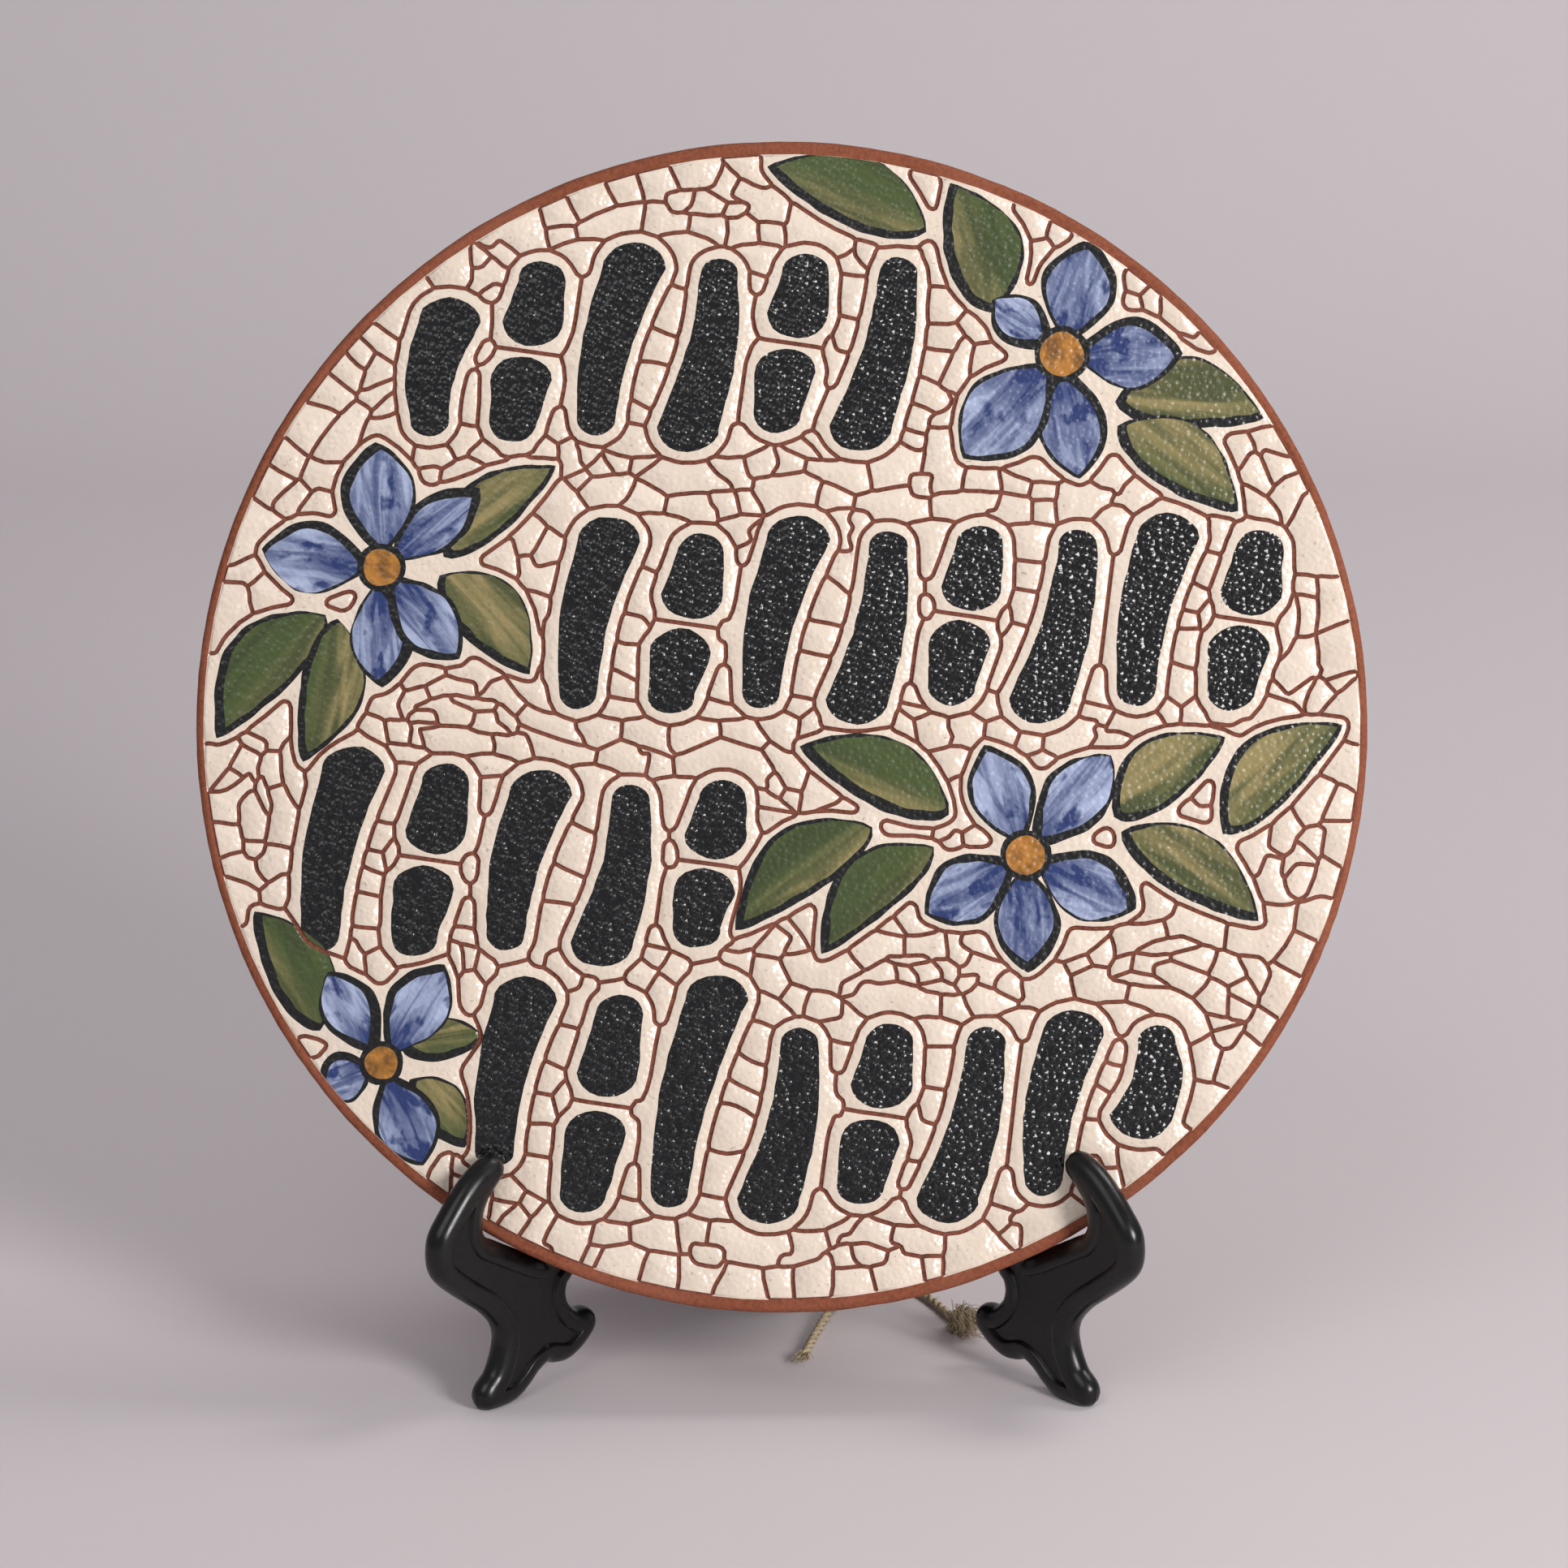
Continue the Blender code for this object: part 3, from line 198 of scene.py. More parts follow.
# Flowers: the middle and its radius, then each petal as direction in degrees, length and width.
# All are shares of the plaque's radius, as the leaves and marks below are.
FLOWERS = (
    ((0.481, 0.633), 0.048, ((75, 0.200, 0.130), (142, 0.150, 0.090), (0, 0.205, 0.125),
                             (-82, 0.215, 0.120), (-134, 0.245, 0.145))),
    ((-0.681, 0.276), 0.042, ((92, 0.215, 0.130), (171, 0.205, 0.125), (-90, 0.205, 0.110),
                              (38, 0.215, 0.095), (-50, 0.205, 0.110))),
    ((0.414, -0.221), 0.044, ((110, 0.200, 0.115), (49, 0.225, 0.115), (-26, 0.210, 0.120),
                              (-150, 0.200, 0.120), (-89, 0.200, 0.115))),
    ((-0.686, -0.568), 0.038, ((120, 0.180, 0.100), (57, 0.200, 0.110), (-160, 0.115, 0.090),
                               (-68, 0.190, 0.115))),
)
# Leaves: foot, tip, width and bow to the left of the way from foot to tip.
LEAVES = (
    ((0.251, 0.842), (-0.019, 0.955), 0.125, -0.02),
    ((0.363, 0.703), (0.293, 0.925), 0.135, -0.02),
    ((0.571, 0.550), (0.825, 0.522), 0.125, 0.03),
    ((0.575, 0.510), (0.779, 0.363), 0.120, 0.02),
    ((-0.575, 0.293), (-0.383, 0.446), 0.100, 0.02),
    ((-0.582, 0.262), (-0.429, 0.092), 0.120, 0.02),
    ((-0.776, 0.196), (-0.963, -0.013), 0.125, -0.03),
    ((-0.756, 0.189), (-0.818, -0.054), 0.110, 0.02),
    ((0.283, -0.151), (0.029, -0.033), 0.120, -0.02),
    ((0.154, -0.172), (-0.082, -0.346), 0.120, -0.03),
    ((0.258, -0.207), (0.064, -0.388), 0.110, -0.03),
    ((0.564, -0.158), (0.756, -0.022), 0.115, 0.02),
    ((0.578, -0.182), (0.811, -0.336), 0.115, 0.02),
    ((0.751, -0.186), (0.955, -0.001), 0.120, 0.03),
    ((-0.790, -0.513), (-0.900, -0.308), 0.115, -0.02),
    ((-0.651, -0.547), (-0.506, -0.526), 0.075, 0.01),
    ((-0.638, -0.596), (-0.544, -0.714), 0.090, 0.01),
)
# Rows of bold brush marks: left end, right end, bottom, top, how many, how many of them are tall, and
# the height of the others as a share of it.
MARK_ROWS = (
    (-0.655, 0.245, 0.484, 0.818, 6, 6, 1.00),
    (-0.400, 0.870, 0.018, 0.352, 8, 8, 1.00),
    (-0.840, -0.045, -0.392, -0.036, 5, 2, 0.88),
    (-0.545, 0.700, -0.832, -0.430, 8, 3, 0.84),
)
MARK_WIDTH = 0.086
MARK_SLANT = 0.22
MARK_REACH = 0.935
SHORT_MARK = 0.24

# The front of a leg, as the line half a thickness inside its outline, clockwise from the hook's tip.
# Hook: shares of the hook's rise, from the point where the plaque's front edge sits.
HOOK_FRONT = ((0.01, 1.00), (-0.20, 0.92), (-0.39, 0.80), (-0.585, 0.63), (-0.79, 0.42), (-0.94, 0.24),
              (-0.985, 0.06))
HOOK_BACK = ((-0.42, 0.11), (-0.43, 0.28), (-0.40, 0.50), (-0.275, 0.73), (-0.085, 0.91))
# Waist, toe and scroll: the way back from the toe, and the height as a share of the seat's height.
WAIST_AND_TOE = ((-9.6, 0.949), (-8.6, 0.893), (-6.1, 0.819), (-2.7, 0.732), (1.2, 0.631),
                 (4.3, 0.511), (5.4, 0.395), (4.7, 0.275), (2.9, 0.159), (0.6, 0.094))
TOE_END = 5.2
CROTCH_AND_SCROLL = ((8.0, 0.110), (10.6, 0.175), (13.9, 0.217), (17.1, 0.189), (19.1, 0.185),
                     (21.5, 0.217), (23.7, 0.272), (23.6, 0.301), (20.7, 0.314), (17.6, 0.411),
                     (16.6, 0.518), (17.3, 0.612), (19.3, 0.696))


def linear(red, green, blue):
    """A screen colour, 0 to 255, as linear light."""
    parts = (c / 255.0 for c in (red, green, blue))
    return tuple(c / 12.92 if c <= 0.04045 else ((c + 0.055) / 1.055) ** 2.4 for c in parts)


def colour(name, description, shade):
    return FloatVectorProperty(name=name, description=description, subtype='COLOR', size=3, min=0.0, max=1.0,
                               default=linear(*shade))


def millimetres(name, description, size):
    return FloatProperty(name=name, description=description, default=size * MM, unit='LENGTH', precision=5)


def lamp_power(name, description, watts):
    return FloatProperty(name=name, description=description, default=watts, min=0.0, unit='POWER')


class PlaqueSettings(bpy.types.PropertyGroup):
    groove_width: millimetres("Groove width", "Width of the grooves between stones", 0.80)
    groove_depth: millimetres("Groove depth", "Depth of the grooves between stones", 0.50)
    stone_row: millimetres("Stone row", "Height of a row of stones", 4.9)
    stone_length: millimetres("Stone length", "Usual length of a stone", 6.7)
    brush_width: millimetres("Brush width", "Width of the painted outlines", 1.2)
    cream: colour("Cream glaze", "Colour of the stones", (232, 217, 201))
    black: colour("Black glaze", "Colour of the brush marks", (15, 15, 17))
    petal_light: colour("Light petal", "Palest blue of the petals", (172, 184, 214))
    petal_dark: colour("Dark petal", "Deepest blue of the petals", (34, 52, 106))
    leaf_green: colour("Leaf green", "Green of the leaves", (70, 84, 42))
    leaf_tan: colour("Leaf tan", "Tan of the leaves' light sides", (148, 134, 88))
    ochre: colour("Ochre", "Middle of the flowers", (176, 118, 44))
    clay: colour("Fired clay", "Bare terracotta of the edge and back", (140, 78, 54))
    groove_clay: colour("Groove clay", "Terracotta in the grooves", (134, 78, 62))


class StandSettings(bpy.types.PropertyGroup):
    bead: millimetres("Bead", "Flat top of the rim that runs round a leg", 0.9)
    field_depth: millimetres("Field depth", "How deep a leg's flat field lies", 0.7)
    plastic: colour("Plastic", "Colour of the moulded legs", (12, 12, 13))


class TwineSettings(bpy.types.PropertyGroup):
    diameter: millimetres("Diameter", "Thickness of the twine", TWINE_DIAMETER)
    twist: millimetres("Twist", "Length of one turn of its two plies", 4.2)
    fibres: IntProperty(name="Loose fibres", description="How many short fibres stand off it", default=700,
                        min=0, max=3000)
    shade: colour("Twine", "Colour of the fibre", (198, 180, 150))


class StageSettings(bpy.types.PropertyGroup):
    floor: colour("Floor", "Colour of the paper under and behind the object", (210, 203, 206))
    key_light: lamp_power("Key light", "Power of the main light", 9.0)
    fill_light: lamp_power("Fill light", "Power of the fill light", 3.5)
    back_light: lamp_power("Back light", "Power of the light on the backdrop", 6.0)


# Figures of the face, in millimetres


def bowed_blade(foot, tip, width, bow, fullness, samples):
    """Outline of a leaf or petal: two arcs of a pointed blade on a bowed spine, counter-clockwise."""
    foot = np.array(foot)
    tip = np.array(tip)
    along = tip - foot
    across = np.array((-along[1], along[0])) / np.linalg.norm(along)
    t = np.linspace(0.0, 1.0, samples)
    spine = foot + along * t[:, None] + across * (bow * np.sin(math.pi * t))[:, None]
    half = 0.5 * width * np.sin(math.pi * t ** fullness) ** 0.8
    right = spine - across * half[:, None]
    left = spine + across * half[:, None]
    return np.concatenate([right, left[-2:0:-1]])


def brush_mark(centre, height, width, slant, bend, heavy_end, samples):
    """Outline of one bold brush mark: a slanted, slightly bent bar with round ends, one end fuller."""
    t = np.linspace(0.0, 1.0, samples)
    rise = (t - 0.5) * (height - MARK_CAP * width)
    lean = slant * rise + bend * np.sin(math.pi * t)
    half = 0.5 * width * (1.0 + heavy_end * (t - 0.5))
    right = np.stack([centre[0] + lean + half, centre[1] + rise], 1)
    left = np.stack([centre[0] + lean - half, centre[1] + rise], 1)
    cap = np.linspace(0.0, math.pi, 11)[1:-1]
    top_mid = 0.5 * (right[-1] + left[-1])
    low_mid = 0.5 * (right[0] + left[0])
    top = top_mid + np.stack([half[-1] * np.cos(cap), MARK_CAP * half[-1] * np.sin(cap)], 1)
    low = low_mid - np.stack([half[0] * np.cos(cap), MARK_CAP * half[0] * np.sin(cap)], 1)
    return np.concatenate([right, top, left[::-1], low])


def painted_figures(samples=33):
    """Every leaf, petal and flower middle as (kind, outline, foot, tip, width), in the order painted."""
    shapes = []
    for foot, tip, width, bow in LEAVES:
        blade = bowed_blade(foot, tip, width, bow, LEAF_FULLNESS, samples)
        shapes.append(("leaf", blade, foot, tip, width))
    for middle, middle_radius, petals in FLOWERS:
        for degrees, length, width in petals:
            way = np.array((math.cos(math.radians(degrees)), math.sin(math.radians(degrees))))
            foot = np.array(middle) + 0.4 * middle_radius * way
            tip = np.array(middle) + length * way
            blade = bowed_blade(foot, tip, width, 0.0, PETAL_FULLNESS, samples)
            shapes.append(("petal", blade, foot, tip, width))
        edge = np.array(middle) + circle(middle_radius, MIDDLE_POINTS)
        shapes.append(("middle", edge, edge[MIDDLE_POINTS // 2], edge[0], 2.0 * middle_radius))
    return [(kind, RADIUS * outline, RADIUS * np.array(foot), RADIUS * np.array(tip), RADIUS * width)
            for kind, outline, foot, tip, width in shapes]


def within_rim(x):
    """How high a mark may reach at a place across the face before it comes too near the rim."""
    return math.sqrt(MARK_REACH ** 2 - (abs(x) + 0.5 * MARK_WIDTH) ** 2)


def mark_outlines(samples=15):
    """The rows of brush marks. Each third place holds two short marks."""
    shapes = []
    for left, right, low, high, count, tall, share in MARK_ROWS:
        step = (right - left) / count
        for i in range(count):
            slant = MARK_SLANT * (1.15 if i % 3 == 2 else 0.95)
            middle = left + (i + 0.5) * step
            lean = 0.5 * slant * (high - low)
            top = min(low + (high - low) * (1.0 if i < tall else share) * (0.97 if i % 2 else 1.0),
                      within_rim(middle + lean))
            floor = max(low + 0.006 * (-1) ** i, -within_rim(middle - lean))
            height = top - floor
            if i % 3 == 1 and height > SHORT_MARK:
                for place in (0.24, 0.76):
                    centre = (middle + slant * (place - 0.5) * height, floor + place * height)
                    shapes.append(brush_mark(centre, 0.44 * height, 1.08 * MARK_WIDTH, slant, 0.0,
                                             0.5 - place, samples))
            else:
                bend = 0.014 if i % 2 else -0.014
                centre = (middle, floor + 0.5 * height)
                shapes.append(brush_mark(centre, height, MARK_WIDTH, slant, bend, 0.5 * (-1) ** i, samples))
    return [RADIUS * outline for outline in shapes]


def waves(x, y, length, rng):
    """A smooth random field between about -1 and 1."""
    total = np.zeros(np.shape(x))
    for _ in range(6):
        angle = rng.uniform(0.0, 2.0 * math.pi)
        pace = 2.0 * math.pi / (length * rng.uniform(0.7, 1.5))
        total += np.sin(pace * (x * math.cos(angle) + y * math.sin(angle)) + rng.uniform(0.0, 6.3))
    return total / 3.0


def wobbled(outline, size, rng):
    """An outline with the small unevenness of a hand-drawn line, kept off the bare rim."""
    x = waves(outline[:, 0], outline[:, 1], WOBBLE_WAVE, rng)
    y = waves(outline[:, 0], outline[:, 1], WOBBLE_WAVE, rng)
    moved = outline + size * np.stack([x, y], 1)
    radius = np.maximum(np.linalg.norm(moved, axis=1), 1e-9)
    reach = rim_radius(moved[:, 0], moved[:, 1]) - RIM_MARGIN
    return moved * np.minimum(1.0, reach / radius)[:, None]


def inside_outline(outline, x, y):
    """Which points lie inside a closed outline."""
    inside = np.zeros(x.shape, bool)
    low = outline.min(axis=0)
    high = outline.max(axis=0)
    boxed = (x >= low[0]) & (x <= high[0]) & (y >= low[1]) & (y <= high[1])
    px = x[boxed]
    py = y[boxed]
    odd = np.zeros(px.shape, bool)
    for (ax, ay), (bx, by) in zip(outline, np.roll(outline, -1, axis=0)):
        if ay != by:
            spans = (ay > py) != (by > py)
            odd ^= spans & (px < (bx - ax) * (py - ay) / (by - ay) + ax)
    inside[boxed] = odd
    return inside


def outline_distance(outline, x, y):
    """How far each point is from a closed outline, and the way along the outline to the nearest place."""
    least = np.full(x.shape, np.inf)
    along = np.zeros(x.shape)
    gone = 0.0
    for a, b in zip(outline, np.roll(outline, -1, axis=0)):
        way = b - a
        size = max(float(way @ way), 1e-12)
        share = np.clip(((x - a[0]) * way[0] + (y - a[1]) * way[1]) / size, 0.0, 1.0)
        away = (x - a[0] - share * way[0]) ** 2 + (y - a[1] - share * way[1]) ** 2
        nearer = away < least
        least = np.where(nearer, away, least)
        along = np.where(nearer, gone + share * math.sqrt(size), along)
        gone += math.sqrt(size)
    return np.sqrt(least), along


class Groups:
    """The two outlines nearest to each point of a grid: how far, which ones, and how far along them."""

    def __init__(self, grid_x, grid_y):
        self.x = grid_x
        self.y = grid_y
        self.gap = np.full((2, *grid_x.shape), np.inf)
        self.owner = np.full((2, *grid_x.shape), -1)
        self.along = np.zeros((2, *grid_x.shape))

    def keep_nearer(self, gap, owner, along, window=(slice(None), slice(None))):
        """Take in an outline's distances, as the nearest or the second nearest."""
        first = (0, *window)
        second = (1, *window)
        nearest = gap < self.gap[first]
        next_nearest = gap < self.gap[second]
        for kept, new in ((self.gap, gap), (self.owner, owner), (self.along, along)):
            kept[second] = np.where(nearest, kept[first], np.where(next_nearest, new, kept[second]))
            kept[first] = np.where(nearest, new, kept[first])

    def add_outline(self, outline, owner, border, reach=26.0):
        """Take in one closed outline, with its border as part of it."""
        low = outline.min(axis=0) - reach
        high = outline.max(axis=0) + reach
        columns = np.nonzero((self.x[0] > low[0]) & (self.x[0] < high[0]))[0]
        rows = np.nonzero((self.y[:, 0] > low[1]) & (self.y[:, 0] < high[1]))[0]
        window = (slice(rows[0], rows[-1] + 1), slice(columns[0], columns[-1] + 1))
        x = self.x[window]
        y = self.y[window]
        gap, along = outline_distance(outline, x, y)
        gap = np.where(inside_outline(outline, x, y), -gap, gap) - border
        self.keep_nearer(gap, owner, along, window)


def rim_radius(x, y):
    """How far out the glaze reaches: the bare rim is wider at the top and bottom."""
    angle = np.arctan2(y, x)
    return RADIUS - BARE_RIM * (1.0 - RIM_SWING * np.cos(2.0 * angle))


FLORAL = -1
OUTSIDE = -2
FIRST_MARK = -10
GRID_SPAN = 2.04 * RADIUS
ROWS_STEP = 40
SHARED_CODE = 100000
SHARED_STEP = 300
STONES_STEP = 1000


def stone_labels(row, length):
    """The face as a grid of labels: one number for each stone, each mark, all florals and the outside.

    Stones lie in rows round each figure. Where two figures come near, the rows meet in a band that
    is one shared row or one row for each.
    """
    rng = random.Random(SEED)
    centre = (np.arange(GRID_CELLS) + 0.5) / GRID_CELLS * GRID_SPAN - 0.5 * GRID_SPAN
    x, y = np.meshgrid(centre, centre)
    radius = np.hypot(x, y)
    rim = rim_radius(x, y)
    groups = Groups(x, y)
    owners = 0
    for outline in mark_outlines():
        groups.add_outline(outline, owners, MARK_BORDER)
        owners += 1
    marks = owners
    for _, outline, _, _, _ in painted_figures():
        groups.add_outline(outline, owners, FLORAL_BORDER)
        owners += 1
    figure = groups.gap[0] < 0.0
    groups.keep_nearer(np.abs(rim - radius), owners, np.mod(np.arctan2(y, x), 2.0 * math.pi) * RADIUS)

    high = row * (1.0 + ROW_UNEVENNESS * waves(x, y, ROW_WAVE, rng))
    wide = np.clip(groups.gap.sum(0) / high, 0.0, MOST_ROWS)
    side_rows = np.maximum(0, np.floor(0.5 * (wide - FEWEST_ROWS_GAP))).astype(int)
    k = np.minimum(np.maximum(groups.gap[0] / high, 0.0).astype(int), side_rows)
    shared = (k == side_rows) & (wide - 2 * side_rows < SHARED_ROW_GAP)
    ends = np.sort(groups.owner, axis=0)
    code = np.where(shared, SHARED_CODE + ends[0] * SHARED_STEP + ends[1], groups.owner[0] * ROWS_STEP + k)
    along = np.where(shared & (groups.owner[0] != ends[0]), groups.along[1], groups.along[0])
    along = along + waves(x, y, CUT_WAVE, rng)
    labels = np.zeros(x.shape, int)
    for one in np.unique(code):
        here = code == one
        cuts = [along[here].min() - rng.uniform(0.0, 1.0) * length]
        while cuts[-1] < along[here].max():
            cuts.append(cuts[-1] + length * rng.uniform(*STONE_LENGTHS))
        labels[here] = one * STONES_STEP + np.searchsorted(cuts, along[here])
    nearest = np.where(groups.owner[0] == owners, groups.owner[1], groups.owner[0])
    narrow = np.where(nearest < marks, MARK_SLIVER, FLORAL_SLIVER)
    drawn = figure | (groups.gap.sum(0) < narrow)
    labels[drawn] = np.where(nearest[drawn] < marks, FIRST_MARK - nearest[drawn], FLORAL)
    labels[radius >= rim] = OUTSIDE
    labels = most_common(most_common(labels))
    return merge_crumbs(split_apart(labels), (GRID_SPAN / GRID_CELLS) ** 2)


def most_common(labels):
    """Each place of the grid takes the label that it and its eight neighbours have most of."""
    near = np.stack([np.roll(labels, (r, c), (0, 1)) for r, c in
                     ((0, 0), (0, 1), (1, 0), (0, -1), (-1, 0), (1, 1), (1, -1), (-1, 1), (-1, -1))])
    votes = np.stack([(near == one).sum(0) for one in near])
    return np.take_along_axis(near, votes.argmax(0)[None], 0)[0]


def split_apart(labels):
    """New labels, one for each connected patch of a stone's label. The others stay."""
    numbers = np.arange(labels.size).reshape(labels.shape)
    special = labels < 0
    sides = [(axis, shift, (np.roll(labels, shift, axis) == labels) & ~special)
             for axis in (0, 1) for shift in (1, -1)]
    while True:
        before = numbers
        for axis, shift, same in sides:
            moved = np.roll(numbers, shift, axis)
            numbers = np.where(same & (moved < numbers), moved, numbers)
        numbers = numbers.ravel()[numbers]
        if np.array_equal(before, numbers):
            break
    _, numbers = np.unique(numbers, return_inverse=True)
    return np.where(special, labels, numbers.reshape(labels.shape))


def borders_between(labels):
    """For each patch, how much border it shares with each of its neighbours."""
    count = int(labels.max()) + 1
    codes = []
    for axis in (0, 1):
        a = labels.take(range(labels.shape[axis] - 1), axis).ravel()
        b = labels.take(range(1, labels.shape[axis]), axis).ravel()
        differ = (a != b) & (a >= 0) & (b >= 0)
        codes.append(a[differ] * count + b[differ])
        codes.append(b[differ] * count + a[differ])
    found, shared = np.unique(np.concatenate(codes), return_counts=True)
    borders = {}
    for code, size in zip(found.tolist(), shared.tolist()):
        borders.setdefault(code // count, []).append((size, code % count))
    return borders


def merge_crumbs(labels, cell_area):
    """Join each patch that is too small for a stone to what it shares most border with."""
    while True:
        areas = np.bincount(labels[labels >= 0]) * cell_area
        small = [int(i) for i in np.argsort(areas) if 0.0 < areas[i] < SMALLEST_STONE]
        borders = borders_between(labels)
        joined = set()
        table = np.arange(len(areas))
        for i in small:
            if i in joined:
                continue
            options = [(size, j) for size, j in borders.get(i, []) if j not in joined]
            if options:
                other = max(options)[1]
                table[i] = other
                joined.update((i, other))
            elif i not in borders and figure_round(labels, i) < 0:
                table[i] = figure_round(labels, i)
                joined.add(i)
        if not joined:
            break
        labels = np.where(labels >= 0, table[np.maximum(labels, 0)], labels)
    return labels


def figure_round(labels, patch):
    """The figure that a patch with no stone beside it lies in."""
    rows, columns = np.nonzero(labels == patch)
    beside = np.concatenate([labels[rows + r, columns + c] for r, c in ((0, 1), (1, 0), (0, -1), (-1, 0))])
    beside = beside[(beside < 0) & (beside != OUTSIDE)]
    return -int(np.bincount(-beside).argmax()) if len(beside) else patch


class Network:
    """The lines between stones: shared points, and chains of them from one junction to the next."""

    def __init__(self, labels):
        self.steps = {}
        size = labels.shape[0]
        for r, c in zip(*np.nonzero(labels[:, :-1] != labels[:, 1:])):
            self.add_step((r, c + 1), (r + 1, c + 1), labels[r, c], labels[r, c + 1])
        for r, c in zip(*np.nonzero(labels[:-1, :] != labels[1:, :])):
            self.add_step((r + 1, c + 1), (r + 1, c), labels[r, c], labels[r + 1, c])
        cell = GRID_SPAN / size
        corners = sorted(self.steps)
        self.index = {corner: i for i, corner in enumerate(corners)}
        self.points = np.array([(c * cell - 0.5 * GRID_SPAN, r * cell - 0.5 * GRID_SPAN) for r, c in corners])
        self.chains = self.trace()
        self.smooth()

    def add_step(self, start, end, left, right):
        """One step along a border, with the labels on its left and right."""
        start = (int(start[0]), int(start[1]))
        end = (int(end[0]), int(end[1]))
        self.steps.setdefault(start, []).append((end, int(left), int(right)))
        self.steps.setdefault(end, []).append((start, int(right), int(left)))

    def trace(self):
        """Follow the steps from junction to junction, and round the loops that have none."""
        chains = []
        used = set()
        junctions = [c for c in sorted(self.steps) if len(self.steps[c]) != 2]
        for start in junctions + sorted(self.steps):
            for end, left, right in self.steps[start]:
                if (start, end) in used:
                    continue
                path = [start, end]
                used.update(((start, end), (end, start)))
                while len(self.steps[path[-1]]) == 2 and path[-1] != start:
                    onward = [s[0] for s in self.steps[path[-1]] if s[0] != path[-2]]
                    step = onward[0] if onward else path[-2]
                    used.update(((path[-1], step), (step, path[-1])))
                    path.append(step)
                chains.append(([self.index[p] for p in path], left, right))
        return chains

    def smooth(self):
        """Ease the steps of the grid into hand-drawn lines; the rim stays a true circle."""
        near = [[] for _ in self.points]
        on_rim = np.zeros(len(self.points), bool)
        for path, left, right in self.chains:
            for a, b in zip(path, path[1:]):
                near[a].append(b)
                near[b].append(a)
            if OUTSIDE in (left, right):
                on_rim[path] = True
        most = max(len(n) for n in near)
        table = np.array([n + [i] * (most - len(n)) for i, n in enumerate(near)])
        weight = np.array([[1.0] * len(n) + [0.0] * (most - len(n)) for n in near])
        for _ in range(SMOOTHING_ROUNDS):
            mean = (self.points[table] * weight[:, :, None]).sum(1) / weight.sum(1)[:, None]
            self.points = 0.4 * self.points + 0.6 * mean
            here = self.points[on_rim]
            stretch_out = rim_radius(here[:, 0], here[:, 1]) / np.linalg.norm(here, axis=1)
            self.points[on_rim] *= stretch_out[:, None]

    def thin(self, tolerance):
        """Leave out the points of each chain that lie within a tolerance of the straight way."""
        self.chains = [(self.thinned(path, tolerance), left, right) for path, left, right in self.chains]

    def thinned(self, path, tolerance):
        if path[0] == path[-1] and len(path) > 3:
            half = len(path) // 2
            return self.thinned(path[:half + 1], tolerance)[:-1] + self.thinned(path[half:], tolerance)
        a = self.points[path[0]]
        b = self.points[path[-1]]
        way = b - a
        rest = self.points[path[1:-1]] - a
        if not len(rest):
            return path
        share = np.clip(rest @ way / max(way @ way, 1e-12), 0.0, 1.0)
        away = np.linalg.norm(rest - share[:, None] * way, axis=1)
        far = int(away.argmax())
        if away[far] <= tolerance:
            return [path[0], path[-1]]
        middle = far + 1
        return self.thinned(path[:middle + 1], tolerance)[:-1] + self.thinned(path[middle:], tolerance)

    def groove_points(self, spacing):
        """Points along every groove, at most a spacing apart. The line of the rim is no groove."""
        points = []
        for path, left, right in self.chains:
            if OUTSIDE in (left, right):
                continue
            for a, b in zip(self.points[path[:-1]], self.points[path[1:]]):
                count = max(1, math.ceil(np.linalg.norm(b - a) / spacing))
                points.extend(a + (b - a) * k / count for k in range(count + 1))
        return points

    def loops(self, label):
        """The borders of a label's patches, as lists of points that keep the patch on their left."""
        ways = {}
        for path, left, right in self.chains:
            if left == label:
                ways.setdefault(path[0], []).append(path)
            if right == label:
                ways.setdefault(path[-1], []).append(path[::-1])
        found = []
        while ways:
            start = next(iter(ways))
            loop = []
            here = start
            while here in ways:
                path = ways[here].pop()
                if not ways[here]:
                    del ways[here]
                loop += path[:-1]
                here = path[-1]
                if here == start:
                    break
            if len(loop) >= 3:
                found.append(loop)
        return found


def inset_loop(points, distance):
    """A closed loop moved to its left by a distance, round its outer corners and without any folds."""
    moved = []
    source = []
    for i, here in enumerate(points):
        before, after = points[i - 1], points[(i + 1) % len(points)]
        came = math.atan2(here[1] - before[1], here[0] - before[0])
        turn = math.atan2(after[1] - here[1], after[0] - here[0]) - came
        turn = (turn + math.pi) % (2.0 * math.pi) - math.pi
        if turn > SHARP_SPIKE:
            turn -= 2.0 * math.pi
        if turn < -ROUNDED_TURN:
            count = math.ceil(-turn / ROUNDED_STEP)
            ways = [(came + 0.5 * math.pi + turn * k / count, distance) for k in range(count + 1)]
        else:
            ways = [(came + 0.5 * math.pi + 0.5 * turn, distance / max(math.cos(0.5 * turn), LEAST_COSINE))]
        for way, reach in ways:
            moved.append((here[0] + reach * math.cos(way), here[1] + reach * math.sin(way)))
        source.extend([i] * len(ways))
    moved = np.array(moved)
    away, _ = outline_distance(points, moved[:, 0], moved[:, 1])
    kept = np.flatnonzero(away > KEPT_CLEARANCE * distance)
    ring = []
    for k, n in zip(kept, np.roll(kept, -1)):
        ring.append(moved[k])
        if (n - k) % len(moved) > 1:
            corner = tip_between(points, moved[k], source[k], moved[n], source[n], distance)
            if corner is not None:
                ring.append(corner)
    return np.array(ring).reshape(-1, 2)


